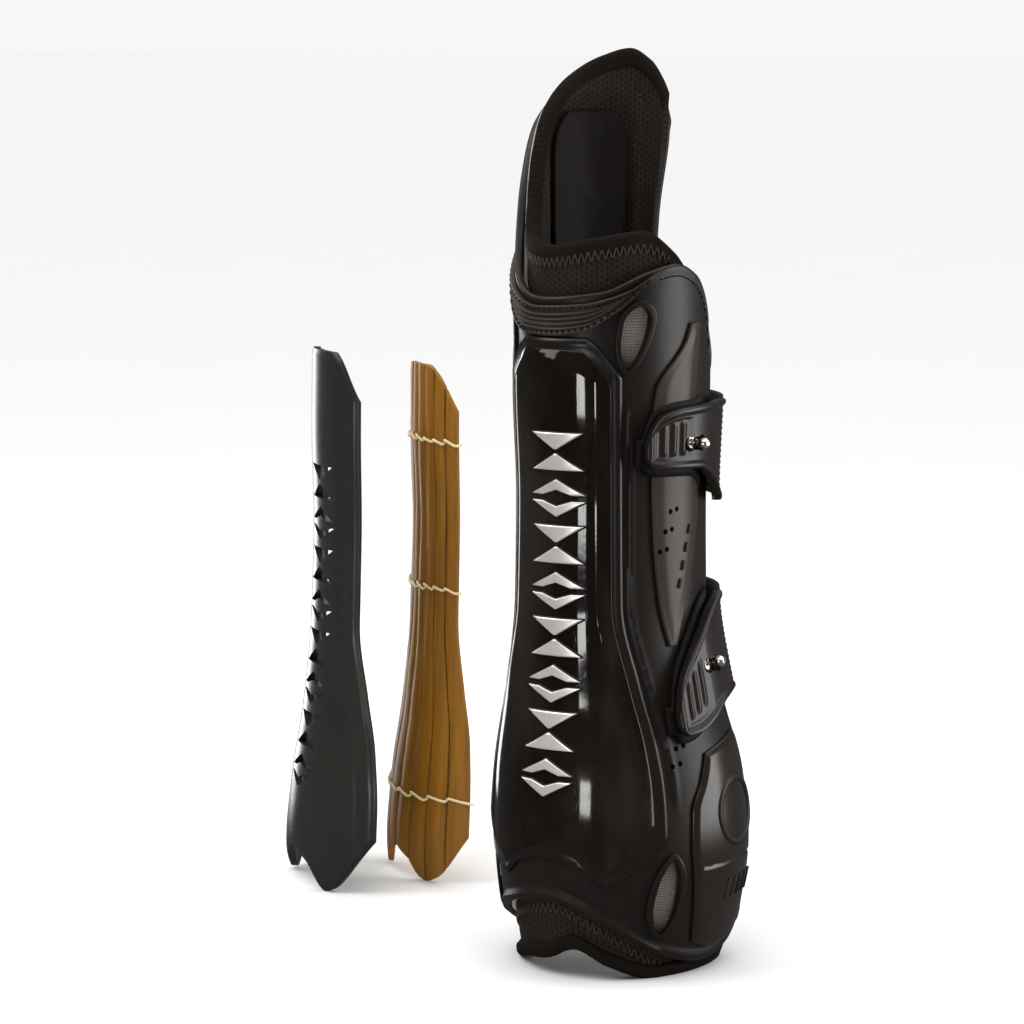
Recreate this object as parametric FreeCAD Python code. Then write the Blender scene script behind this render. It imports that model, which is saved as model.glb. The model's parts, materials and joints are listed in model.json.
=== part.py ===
"""Tendon boot for a horse's foreleg, with its two loose shield layers standing beside it.

The boot is an open-fronted shell round the cannon bone. X is across the leg with the outer side at +X,
Y is fore and aft with the tendon at the back at -Y, and Z is up. Lengths are millimetres, angles degrees.
Every wall follows one leg surface: a point is given by its angle round the leg (0 at the back, positive
towards the outer side), its height, and its offset outwards from the outer shell's face.
"""

import FreeCAD
import Part
import math
import os

os.makedirs("parts", exist_ok=True)

# ---- driving dimensions -------------------------------------------------------------------------------
LEG_STATIONS = [  # height, half width in X, half depth in Y, centre in X, centre in Y
    (0.0, 37.5, 43.5, 2.0, 3.0),
    (20.0, 40.5, 47.5, 2.5, 3.0),
    (45.0, 43.0, 50.0, 3.0, 3.0),
    (70.0, 41.5, 47.5, 2.5, 2.5),
    (100.0, 36.0, 41.5, 1.0, 1.0),
    (135.0, 31.8, 37.8, 0.0, 0.0),
    (170.0, 31.4, 37.4, 0.0, 0.0),
    (210.0, 32.5, 39.0, 0.0, 0.0),
    (250.0, 32.5, 39.5, 0.0, 0.0),
    (335.0, 35.0, 46.0, 0.0, 0.0),
]
INNER_FRONT = -168.0  # angle of the shell's front edge on the inner side of the leg
LOBE_FRONT = [(0, -168), (240, -168), (268, -169.5), (296, -174), (330, -175.5)]  # the same edge, by height
OUTER_FRONT = 121.0  # and on the outer side
LINING_OVERHANG = 2.0  # degrees that the lining shows past each front edge
SHELL_TOP = [(-175, 301), (-168, 312), (-160, 318.5), (-148, 322), (-130, 320), (-107, 313), (-88, 302), (-72, 282),
             (-58, 262), (-45, 250), (-10, 243), (30, 245), (60, 252), (78, 254), (95, 250), (110, 238),
             (121, 216)]
SHELL_BOTTOM = [(-168, 24), (-150, 12), (-120, 6), (-85, 7), (-60, 15), (-30, 25), (0, 30), (30, 21),
                (60, 8), (85, 4), (110, 8), (121, 16)]
FOAM_TOP = [(-175, 302), (-168, 313), (-160, 319.5), (-148, 323.2), (-130, 322), (-107, 315.6), (-88, 304.8),
            (-72, 284.8), (-62, 266), (-54, 253), (-45, 246), (-10, 240), (30, 242), (60, 249), (78, 251),
            (95, 247), (110, 235), (121, 213)]
LINING_TOP = [(-177.5, 308), (-171, 315), (-162, 321.5), (-148, 325.7), (-130, 323), (-107, 315.7), (-88, 304.8), (-72, 287.5),
              (-58, 269), (-40, 260.5), (-10, 258), (30, 261), (60, 263), (80, 257), (100, 246), (123, 221)]
LINING_BOTTOM = [(-170, 17), (-156, 4), (-140, -1), (-60, -1), (-30, 4), (-8, 6), (12, 11), (30, 5),
                 (58, -1), (110, -1), (123, 7)]
SHELL_WALL = 2.4
FOAM_IN, FOAM_OUT = -4.0, -2.75
LINING_IN, LINING_OUT = -8.0, -4.6
BINDING_HEIGHT = 4.5
BINDING_IN, BINDING_OUT = -8.2, -1.9
BINDING_GAP = 0.5  # between the lining and the hem binding

PLATE_WIDTH = [(30, 51), (60, 51), (86, 49.5), (107, 44.5), (135, 37.5), (230, 36.5)]  # half angle by height
PLATE_TOP = [(-40, 209), (-36.5, 212), (-22, 224), (-19, 225), (19, 225), (22, 224), (36.5, 212), (40, 209)]
PLATE_BOTTOM = [(-52, 58), (-51, 57), (-28, 40.6), (-26, 40), (-14, 47), (0, 50), (14, 47), (26, 40),
                (28, 40.6), (51, 57), (52, 58)]
PLATE_SEAT, PLATE_FACE = 0.3, 3.6
FRAME_BORDER = 4.2  # width of the raised border round the plate
FRAME_FACE = 1.9

MOTIF_PITCH = 16.4
MOTIF_COUNT = 8
MOTIF_FOOT = 68.0
MOTIF_HEIGHT = 13.2
MOTIF_HALF_WIDTH = 10.4
MOTIF_MIDDLE = 3.6  # the row of motifs stands this far to the outer side of the plate's middle
MOTIF_STROKE = 4.3
INLAY_RISE = 1.1

STRAP_THICKNESS = 1.8
STRAP_OFFSET = 3.2
TAB_THICKNESS = 2.6
STRAP_REAR = 113.0  # angle where the elastic meets the tab
STRAP_FRONT = 190.0  # and where it meets its anchor on the inner wing
STRAP_GAP = 2.0  # clear gap at each seam, where the strap bends
STUD_HEAD_RADIUS = 2.2
STUD_NECK_RADIUS = 1.4
STUD_REACH = 4.7  # from the stud pad's face to the middle of the head
SLOT_WIDTH = 5.6
SLOT_LENGTH = 11.5

CORE_YAW, BAMBOO_YAW = -33.0, -29.0  # how far the loose layers are turned about the vertical
CORE_LEAN, BAMBOO_LEAN = 1.9, 1.4  # and leaned towards the boot
CORE_PLACE = (-138.0, 60.0)
BAMBOO_PLACE = (-116.0, 95.0)
LAYER_FOOT_DROP = 30.0  # the loose layers stand this much lower than on the leg
CORE_THICKNESS = 3.4
SLAT_THICKNESS = 2.2
SLAT_COUNT = 8
LACE_HEIGHTS = [64.0, 146.0, 205.0]
LACE_RADIUS = 0.55

FRAME_MIDDLE = (-66.47, 15.78)  # middle of the box round everything, measured from the leg's axis

STATION_COUNT_U = 49
STATION_COUNT_V = 25


def smooth(table, x):
    """Value at x of a smooth curve through the table's points, with no overshoot between them."""
    if x <= table[0][0]:
        return float(table[0][1])
    if x >= table[-1][0]:
        return float(table[-1][1])
    slopes = [(b[1] - a[1]) / (b[0] - a[0]) for a, b in zip(table, table[1:])]
    i = max(k for k in range(len(slopes)) if table[k][0] <= x)

    def tangent(k):
        if k == 0 or k == len(slopes):
            return slopes[0] if k == 0 else slopes[-1]
        before, after = slopes[k - 1], slopes[k]
        return 0.0 if before * after <= 0 else 2 * before * after / (before + after)

    span = table[i + 1][0] - table[i][0]
    t = (x - table[i][0]) / span
    return (
        table[i][1] * (1 + 2 * t) * (1 - t) ** 2
        + table[i + 1][1] * t * t * (3 - 2 * t)
        + span * (tangent(i) * t * (1 - t) ** 2 - tangent(i + 1) * t * t * (1 - t))
    )


def leg_section(height):
    """Half width, half depth and centre of the outer shell's face at a height."""
    return [smooth([(s[0], s[k]) for s in LEG_STATIONS], height) for k in range(1, 5)]


def on_leg(angle, height, offset):
    """A point at an angle round the leg, a height, and an offset outwards from the shell's face."""
    half_x, half_y, centre_x, centre_y = leg_section(height)
    turn = math.radians(angle)
    return FreeCAD.Vector(
        centre_x + (half_x + offset) * math.sin(turn),
        centre_y - (half_y + offset) * math.cos(turn),
        height,
    )


def outward(angle, height):
    """Unit vector square to the leg surface."""
    step = 0.5
    round_leg = on_leg(angle + step, height, 0) - on_leg(angle - step, height, 0)
    up_leg = on_leg(angle, height + step, 0) - on_leg(angle, height - step, 0)
    return round_leg.cross(up_leg).normalize()


def as_function(edge):
    """A constant or a table becomes a function of one number."""
    return (lambda x: smooth(edge, x)) if isinstance(edge, list) else (lambda x: float(edge))


def wall_grid(first, last, bottom, top, offset, columns, rows):
    """Points of a wall's face: first and last are angles by height, bottom and top are heights by angle."""
    first, last, bottom, top = (as_function(e) for e in (first, last, bottom, top))
    grid = []
    for i in range(columns):
        share = (1 - math.cos(math.pi * i / (columns - 1))) / 2
        u = 0.5 * share + 0.5 * i / (columns - 1)
        line = []
        for j in range(rows):
            v = j / (rows - 1)
            height = 100.0
            for _ in range(12):
                angle = first(height) + (last(height) - first(height)) * u
                height = bottom(angle) + (top(angle) - bottom(angle)) * v
            line.append(on_leg(angle, height, offset))
        grid.append(line)
    return grid


def wall(first, last, bottom, top, inner, outer, columns=STATION_COUNT_U, rows=STATION_COUNT_V):
    """A closed solid that follows the leg between two offsets."""
    faces = []
    for offset in (inner, outer):
        face = Part.BSplineSurface()
        face.interpolate(wall_grid(first, last, bottom, top, offset, columns, rows))
        faces.append(face)
    near, far = faces
    u0, u1, v0, v1 = near.bounds()
    fu0, fu1, fv0, fv1 = far.bounds()
    edges = [
        (near.uIso(u0), far.uIso(fu0)),
        (near.uIso(u1), far.uIso(fu1)),
        (near.vIso(v0), far.vIso(fv0)),
        (near.vIso(v1), far.vIso(fv1)),
    ]
    sides = [Part.makeLoft([Part.Wire([a.toShape()]), Part.Wire([b.toShape()])], False, True).Faces[0]
             for a, b in edges]
    shell = Part.makeShell([near.toShape(), far.toShape()] + sides)
    shell.sewShape()
    solid = Part.makeSolid(shell)
    if solid.Volume < 0:
        solid.reverse()
    return solid


def leaf(middle, half_angle, low, high, lean, belly=0.5, point=0.5):
    """Edge tables of a leaf-shaped patch: its two side angles by height, with lean in degrees per mm.

    Belly is how far up the leaf is widest, and point is 0.5 for round ends and about 1 for pointed ones.
    """
    centre, widest = (low + high) / 2, low + (high - low) * belly

    def spread(height):
        reach = (high if height > widest else low) - widest
        t = min(1.0, (height - widest) / reach)
        return 0.16 + 0.84 * max(0.0, 1 - t ** 2.4) ** point

    steps = [low + (high - low) * k / 12 for k in range(13)]
    first = [(z, middle + lean * (z - centre) - half_angle * spread(z)) for z in steps]
    last = [(z, middle + lean * (z - centre) + half_angle * spread(z)) for z in steps]
    return first, last


def save(name, *shapes):
    """Writes one node, which may hold several separate solids, in the frame of the whole part."""
    solids = [s.translated(FreeCAD.Vector(-FRAME_MIDDLE[0], -FRAME_MIDDLE[1], 0))
              for shape in shapes for s in shape.Solids]
    if not solids or not all(s.isValid() and s.Volume > 0 for s in solids):
        print("CHECK", name, len(solids), [s.isValid() for s in solids], [round(s.Volume, 2) for s in solids])
    Part.makeCompound(solids).exportStep("parts/%s.step" % name)
    box = Part.makeCompound(solids).BoundBox
    print("%-26s %2d solids %9.1f mm3  z %.1f..%.1f" % (name, len(solids), sum(s.Volume for s in solids),
                                                      box.ZMin, box.ZMax))


# ---- vents --------------------------------------------------------------------------------------------
VENTS = {  # name: middle angle, half angle, lowest, highest, lean in degrees per mm, belly, point
    "vent_outer_upper": (50.0, 8.0, 218.0, 240.0, 0.35, 0.72, 0.9),
    "vent_inner_upper": (-51.0, 8.0, 216.0, 238.0, -0.35, 0.72, 0.9),
    "vent_outer_lower": (58.0, 6.0, 17.5, 45.0, 0.16, 0.45, 0.9),
    "vent_inner_lower": (-58.0, 6.0, 21.5, 46.0, -0.16, 0.45, 0.9),
}


def vent_patch(name, grow, inner, outer):
    """A leaf-shaped patch at a vent, grown by some millimetres at its edge."""
    middle, half_angle, low, high, lean, belly, point = VENTS[name]
    first, last = leaf(middle, half_angle + grow * 1.6, low - grow, high + grow, lean, belly, point)
    return wall(first, last, low - grow, high + grow, inner, outer, 15, 13)


# ---- shell, foam, lining ------------------------------------------------------------------------------
def raised(table, rise):
    """The table with rise added to each height."""
    return [(x, y + rise) for x, y in table]


def air_holes():
    """Pins that cut the small air holes in the outer wing."""
    cluster_upper = [(73, 167.0), (69.5, 160.0), (66, 153.0)]
    cluster_lower = [(66, 83.5), (62.5, 77.5)]
    pins = []
    for angle, height in cluster_upper + cluster_lower:
        for shift in (0, 4.5):
            foot = on_leg(angle + shift, height + shift * 0.15, -3.0)
            pins.append(Part.makeCylinder(0.9, 6.0, foot, outward(angle + shift, height)))
    return pins


def outer_shell():
    """The moulded shell, with its four vents and its air holes cut through."""
    shell = wall(LOBE_FRONT, OUTER_FRONT, SHELL_BOTTOM, SHELL_TOP, -SHELL_WALL, 0.0)
    cutters = [vent_patch(name, 0.0, -4.0, 2.0) for name in VENTS] + air_holes()
    return shell.cut(Part.makeCompound(cutters))


def soft_layers():
    """Foam, lining and the bindings at the lining's top and bottom edges."""
    save("shock_foam", wall(raised(LOBE_FRONT, 0.6), OUTER_FRONT - 0.6, raised(SHELL_BOTTOM, 0.5),
                            FOAM_TOP, FOAM_IN, FOAM_OUT))
    first, last = raised(LOBE_FRONT, -LINING_OVERHANG), OUTER_FRONT + LINING_OVERHANG
    lining_foot = raised(LINING_BOTTOM, BINDING_HEIGHT + BINDING_GAP)
    save("lining", wall(first, last, lining_foot, LINING_TOP, LINING_IN, LINING_OUT))
    top_binding = wall(first, last, raised(LINING_TOP, BINDING_GAP + 0.2), raised(LINING_TOP, BINDING_HEIGHT * 0.6),
                       LINING_IN - 0.6, LINING_OUT + 0.2, STATION_COUNT_U, 5)
    save("collar_binding", top_binding)
    hem = wall(INNER_FRONT - LINING_OVERHANG, last, LINING_BOTTOM, raised(LINING_BOTTOM, BINDING_HEIGHT),
               BINDING_IN, BINDING_OUT,
               STATION_COUNT_U, 5)
    below_floor = Part.makeBox(200, 200, 20, FreeCAD.Vector(-100, -100, -20))
    save("hem_binding", hem.cut(below_floor))
    first, last = leaf(-117.0, 30.0, 247.0, 306.0, -0.08)
    save("inner_pad", wall(first, last, 247.0, 306.0, LINING_IN - 1.9, LINING_IN - 0.3, 25, 19))


# ---- tendon plate -------------------------------------------------------------------------------------
def plate_body(grow, inner, outer, columns=61):
    """The plate's outline, grown by some millimetres, between two offsets."""
    spread = grow * 1.55
    first = [(z, -angle - spread) for z, angle in PLATE_WIDTH]
    last = [(z, angle + spread) for z, angle in PLATE_WIDTH]
    widen = 1 + spread / 45.0
    top = [(x * widen, y + grow) for x, y in PLATE_TOP]
    bottom = [(x * widen, y - grow) for x, y in PLATE_BOTTOM]
    return wall(first, last, bottom, top, inner, outer, columns, 31)


def open_diamond(foot):
    """A diamond ring, left open at its two side corners so that what is inside it stays joined."""
    w, h, s = MOTIF_HALF_WIDTH, MOTIF_HEIGHT, MOTIF_STROKE
    middle = foot + h / 2
    upper = [(-w, middle + 1.1), (0, foot + h), (w, middle + 1.1), (w - s * 1.1, middle + 1.1),
             (0, foot + h - s * 0.85), (s * 1.1 - w, middle + 1.1)]
    return [upper, [(x, 2 * middle - z) for x, z in upper]]


def bow_tie(foot):
    """Two triangles, point to point."""
    w, h = MOTIF_HALF_WIDTH * 0.95, MOTIF_HEIGHT
    middle = foot + h / 2
    return [[(-w, foot + h), (w, foot + h), (0, middle + 0.8)], [(-w, foot), (w, foot), (0, middle - 0.8)]]


def motif_prisms():
    """The eight motifs up the back of the leg, as prisms that run along Y."""
    kinds = [open_diamond, bow_tie]
    prisms = []
    for k in range(MOTIF_COUNT):
        for outline in kinds[k % 2](MOTIF_FOOT + k * MOTIF_PITCH):
            points = [FreeCAD.Vector(MOTIF_MIDDLE + x, -90, z) for x, z in outline]
            face = Part.Face(Part.makePolygon(points + points[:1]))
            prisms.append(face.extrude(FreeCAD.Vector(0, 90, 0)))
    return prisms


def tendon_plate():
    """Glossy plate, its raised border, and the silver inlay."""
    save("strike_plate", plate_body(0.0, PLATE_SEAT, PLATE_FACE))
    border = plate_body(FRAME_BORDER, PLATE_SEAT, FRAME_FACE).cut(plate_body(0.35, -1.0, 6.0))
    save("plate_border", border)
    band = wall(-36, 42, MOTIF_FOOT - 6, MOTIF_FOOT + MOTIF_COUNT * MOTIF_PITCH + 4, PLATE_FACE + 0.12,
                PLATE_FACE + INLAY_RISE, 31, 31)
    save("silver_inlay", *[band.common(p) for p in motif_prisms()])


# ---- trim on the shell --------------------------------------------------------------------------------
FLEX_TOP = [(-78, 262), (-60, 253), (-45, 247), (-10, 240), (20, 241), (45, 245), (62, 251)]
FLEX_BOTTOM = [(-78, 257), (-60, 249), (-48, 242.5), (-38, 235.5), (-20, 230), (0, 229.5), (20, 231), (40, 238), (50, 243.5),
               (62, 250)]


def shell_trim():
    """Ribbed flex band, side panels, fetlock cup and vents."""
    save("flex_band", wall(-78, 62, FLEX_BOTTOM, FLEX_TOP, 0.3, 2.2))
    panel_first = [(119, 71), (135, 66), (160, 62), (195, 60.5), (210, 63), (227, 84), (233, 88.5)]
    panel_last = [(119, 76), (125, 80), (138, 88), (167, 98), (190, 96), (206, 92), (225, 95.5), (233, 96.5)]
    panel = wall(panel_first, panel_last, 119.0, 233.0, 0.3, 1.5, 21, 41)
    room = [stud_base_block("upper", 0.6), stud_base_block("lower", 0.6)]
    save("outer_wing_panel", panel.cut(Part.makeCompound(air_holes() + room)))
    cup_first = [(8, 74), (30, 72), (48, 69.5), (61, 70.5), (70, 76), (84, 84)]
    save("fetlock_cup", wall(cup_first, 114, [(68, 14), (90, 8.5), (114, 14)], [(68, 78), (92, 82), (114, 85)],
                             0.3, 2.0))
    for name in VENTS:
        save(name + "_mesh", vent_patch(name, -0.35, -2.0, -0.9))
        save(name + "_rim", vent_patch(name, 2.0, 0.3, 1.3).cut(vent_patch(name, 0.0, -1.0, 3.0)))
    ring_middle, ring_height = 99.0, 58.0
    foot = on_leg(ring_middle, ring_height, 2.2)
    axis = outward(ring_middle, ring_height)
    disc = Part.makeCylinder(13.0, 20, foot - axis * 10, axis)
    hole = Part.makeCylinder(10.2, 22, foot - axis * 11, axis)
    skin = wall(72, 113.5, 42, 75, 2.15, 2.75, 21, 17)
    save("cup_ring", skin.common(disc.cut(hole)))


# ---- straps -------------------------------------------------------------------------------------------
STRAPS = {  # name: stud angle, stud height, tab bottom by angle, tab top by angle, elastic bottom, elastic top
    "upper": dict(stud=(88.0, 191.0), tip=54.0,
                  bottom=[(54, 187), (57, 184), (63, 183), (88, 182), (98, 178), (112, 168)],
                  top=[(54, 191), (57, 197), (63, 202), (74, 204), (112, 205)],
                  elastic=(168.0, 205.0)),
    "lower": dict(stud=(97.0, 111.0), tip=66.0,
                  bottom=[(66, 92), (69, 88.5), (75, 89), (86, 92.5), (98, 98), (112, 101)],
                  top=[(66, 96), (69, 105), (76, 114), (88, 124), (98, 131), (112, 136)],
                  elastic=(99.0, 136.0)),
}


def strap_seam(name, angle):
    """Point and upward direction of the line that a strap bends about, at an angle round the leg."""
    low, high = STRAPS[name]["elastic"]
    offset = STRAP_OFFSET + STRAP_THICKNESS / 2
    foot, head = on_leg(angle, low, offset), on_leg(angle, high, offset)
    return (foot + head) * 0.5, (head - foot).normalize()


def stud_base_block(name, grow):
    """Pad under the strap's tab, which carries the stud."""
    spec = STRAPS[name]
    angle, height = spec["stud"]
    low = raised(spec["bottom"], -3.5 - grow)
    high = raised(spec["top"], 2.0 + grow)
    return wall(spec["tip"] - 3.5 - grow, angle + 11 + grow, low, high, 0.3 - grow, 2.4 + grow, 25, 13)


def seam_angle(name, angle, side):
    """The strap ends half a gap short of the seam line, on one side of it."""
    half_x, half_y, _, _ = leg_section(sum(STRAPS[name]["elastic"]) / 2)
    radius = (half_x + half_y) / 2 + STRAP_OFFSET
    return angle + side * math.degrees(STRAP_GAP / 2 / radius)


def build_strap(name):
    """Stud, stud pad, tab, elastic and anchor of one strap."""
    spec = STRAPS[name]
    angle, height = spec["stud"]
    axis = outward(angle, height)
    foot = on_leg(angle, height, 2.4)
    pad = stud_base_block(name, 0.0)
    flange = Part.makeCylinder(4.0, 0.7, foot + axis * 0.25, axis)
    neck = Part.makeCylinder(STUD_NECK_RADIUS, STUD_REACH - 0.3, foot + axis * 0.3, axis)
    head = Part.makeSphere(STUD_HEAD_RADIUS, foot + axis * STUD_REACH)
    save(name + "_stud_pad", pad)
    tab_in, tab_out = STRAP_OFFSET + 0.4, STRAP_OFFSET + 0.4 + TAB_THICKNESS
    save(name + "_stud", flange.fuse(neck).fuse(head).removeSplitter())
    tab = wall(spec["tip"], seam_angle(name, STRAP_REAR, -1), spec["bottom"], spec["top"], tab_in, tab_out,
               41, 15)
    up = FreeCAD.Vector(0, 0, 1)
    along = up.cross(axis).normalize()
    across = axis.cross(along).normalize()
    slot_shift = (SLOT_LENGTH - SLOT_WIDTH) / 2
    ends = [foot - axis * 4, foot - axis * 4 - along * (2 * slot_shift)]
    slot = [Part.makeCylinder(SLOT_WIDTH / 2, 16, end, axis) for end in ends]
    corners = [ends[0] + across * (SLOT_WIDTH / 2), ends[1] + across * (SLOT_WIDTH / 2),
               ends[1] - across * (SLOT_WIDTH / 2), ends[0] - across * (SLOT_WIDTH / 2)]
    slot.append(Part.Face(Part.makePolygon(corners + corners[:1])).extrude(axis * 16))
    save(name + "_tab", tab.cut(Part.makeCompound(slot)))
    low, high = spec["elastic"]
    save(name + "_elastic", wall(seam_angle(name, STRAP_REAR, 1), seam_angle(name, STRAP_FRONT, -1), low, high,
                                 STRAP_OFFSET, STRAP_OFFSET + STRAP_THICKNESS, 33, 9))
    anchor_first = seam_angle(name, STRAP_FRONT, 1) + 0.6 - 360
    save(name + "_anchor", wall(anchor_first, INNER_FRONT + 18, low - 1, high + 1, 0.3,
                                STRAP_OFFSET + STRAP_THICKNESS, 17, 9))
    for seam in (STRAP_REAR, STRAP_FRONT):
        point, line = strap_seam(name, seam)
        point = point - FreeCAD.Vector(FRAME_MIDDLE[0], FRAME_MIDDLE[1], 0)
        print("seam", name, seam, [round(c, 2) for c in point], [round(c, 4) for c in line])


# ---- loose shield layers ------------------------------------------------------------------------------
def stand_aside(shape, place, yaw, lean):
    """Turns a layer about the vertical, leans it a little and stands it beside the boot."""
    moved = shape.copy()
    moved.rotate(FreeCAD.Vector(0, 0, 0), FreeCAD.Vector(0, 0, 1), yaw)
    moved.rotate(FreeCAD.Vector(0, 0, LAYER_FOOT_DROP), FreeCAD.Vector(0, 1, 0), lean)
    moved.translate(FreeCAD.Vector(place[0], place[1], -LAYER_FOOT_DROP))
    return moved


CORE_WIDTH = [(20, 53), (60, 53), (86, 51), (107, 46), (135, 39), (240, 38)]
CORE_TOP = [(-39, 222), (-37, 223.5), (-22, 239), (-18, 241), (18, 241), (22, 239), (37, 223.5), (39, 222)]
CORE_BOTTOM = [(-54, 53), (-52, 51), (-30, 30.5), (-27, 30), (-14, 40), (0, 44), (14, 40), (27, 30),
               (30, 30.5), (52, 51), (54, 53)]


def shield_core():
    """Moulded core plate with the motifs cut through it."""
    first = [(z, -angle) for z, angle in CORE_WIDTH]
    last = CORE_WIDTH
    plate = wall(first, last, CORE_BOTTOM, CORE_TOP, 0.0, CORE_THICKNESS, 61, 31)
    save("shield_core", stand_aside(plate.cut(Part.makeCompound(motif_prisms())), CORE_PLACE, CORE_YAW, CORE_LEAN))


def bamboo_layer():
    """Bamboo slats side by side, with three rows of lacing over them."""
    edge = [(20, 47), (60, 47), (86, 46), (107, 42), (135, 37), (240, 36)]
    top = [(-36, 217), (-20, 231.5), (-12, 234.5), (12, 234.5), (20, 231.5), (36, 217)]
    bottom = [(-47, 50), (-30, 32), (-23.5, 30), (-10, 38), (0, 41), (10, 38), (23.5, 30), (30, 32), (47, 50)]
    for k in range(SLAT_COUNT):
        low_share, high_share = 2 * k / SLAT_COUNT - 1, 2 * (k + 1) / SLAT_COUNT - 1
        first = [(z, a * low_share + 0.35) for z, a in edge]
        last = [(z, a * high_share - 0.35) for z, a in edge]
        slat = wall(first, last, bottom, top, 0.0, SLAT_THICKNESS, 9, 31)
        save("bamboo_slat_%d" % (k + 1), stand_aside(slat, BAMBOO_PLACE, BAMBOO_YAW, BAMBOO_LEAN))
    for row, height in enumerate(LACE_HEIGHTS):
        stitches = []
        reach = smooth(edge, height)
        for k in range(SLAT_COUNT):
            start = reach * (2 * (k + 0.08) / SLAT_COUNT - 1)
            end = reach * (2 * (k + 0.92) / SLAT_COUNT - 1)
            lift = SLAT_THICKNESS + LACE_RADIUS + 0.25
            a, b = on_leg(start, height + 0.7, lift), on_leg(end, height - 0.7, lift)
            rod = Part.makeCylinder(LACE_RADIUS, (b - a).Length, a, b - a)
            stitches.append(stand_aside(rod, BAMBOO_PLACE, BAMBOO_YAW, BAMBOO_LEAN))
        save("lacing_%d" % (row + 1), *stitches)


save("outer_shell", outer_shell())
soft_layers()
tendon_plate()
shell_trim()
for strap in STRAPS:
    build_strap(strap)
shield_core()
bamboo_layer()
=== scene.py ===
"""Looks of a horse's tendon boot and of its two loose shield layers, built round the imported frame.

Every soft and moulded wall follows one leg surface, given by an angle round the leg (0 at the tendon,
positive towards the outer side), a height, and an offset outwards. Sizes are in millimetres until they
reach a mesh, which is in metres.
"""

from __future__ import annotations

import json
import logging
import math
from dataclasses import dataclass, field
from enum import Enum
from typing import Any, Callable, Iterable, Sequence, Union

import bpy
import numpy as np
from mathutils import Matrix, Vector

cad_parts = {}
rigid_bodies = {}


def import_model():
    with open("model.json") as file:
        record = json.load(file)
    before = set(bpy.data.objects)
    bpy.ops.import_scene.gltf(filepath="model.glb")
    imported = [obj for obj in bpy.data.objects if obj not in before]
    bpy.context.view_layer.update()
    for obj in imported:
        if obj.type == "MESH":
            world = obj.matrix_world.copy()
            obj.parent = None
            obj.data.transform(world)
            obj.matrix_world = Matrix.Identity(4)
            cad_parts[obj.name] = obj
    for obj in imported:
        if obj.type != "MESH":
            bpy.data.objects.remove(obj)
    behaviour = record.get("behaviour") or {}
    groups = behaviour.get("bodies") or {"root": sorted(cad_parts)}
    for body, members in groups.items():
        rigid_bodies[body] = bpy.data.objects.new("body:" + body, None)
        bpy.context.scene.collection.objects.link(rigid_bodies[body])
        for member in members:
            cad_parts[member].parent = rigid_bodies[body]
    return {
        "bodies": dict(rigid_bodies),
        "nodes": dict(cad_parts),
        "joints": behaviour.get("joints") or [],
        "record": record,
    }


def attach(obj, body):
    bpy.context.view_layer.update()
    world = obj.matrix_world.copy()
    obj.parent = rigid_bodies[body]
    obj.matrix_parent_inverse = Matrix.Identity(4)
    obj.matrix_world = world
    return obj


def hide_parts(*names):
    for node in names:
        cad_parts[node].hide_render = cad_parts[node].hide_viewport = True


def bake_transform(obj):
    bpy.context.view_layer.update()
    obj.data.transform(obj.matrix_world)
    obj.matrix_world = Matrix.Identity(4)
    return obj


LOG = logging.getLogger("tendon_boot")
MM = 0.001
MEAN_RADIUS = 37.0  # of the leg, for the maps
RIM_LINES = (0.0, 0.03, 0.12, 0.3, 0.58)  # where a rounded edge's grid lines go, as shares of the rounding
FINE_GRID = 12  # a grid with fewer lines than this keeps them evenly spaced
MOST_ROUNDING = 0.48  # of a wall's thickness
Knots = tuple[tuple[float, float], ...]
Edge = Union[float, Knots]
Colour = tuple[float, float, float]
Relief = Callable[["Spot"], np.ndarray]


class Body(Enum):
    """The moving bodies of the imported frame."""

    BOOT = "boot"
    UPPER_STRAP = "upper_strap"
    UPPER_TAB = "upper_tab"
    LOWER_STRAP = "lower_strap"
    LOWER_TAB = "lower_tab"
    CORE = "shield_core"
    BAMBOO = "bamboo_shield"


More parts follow.
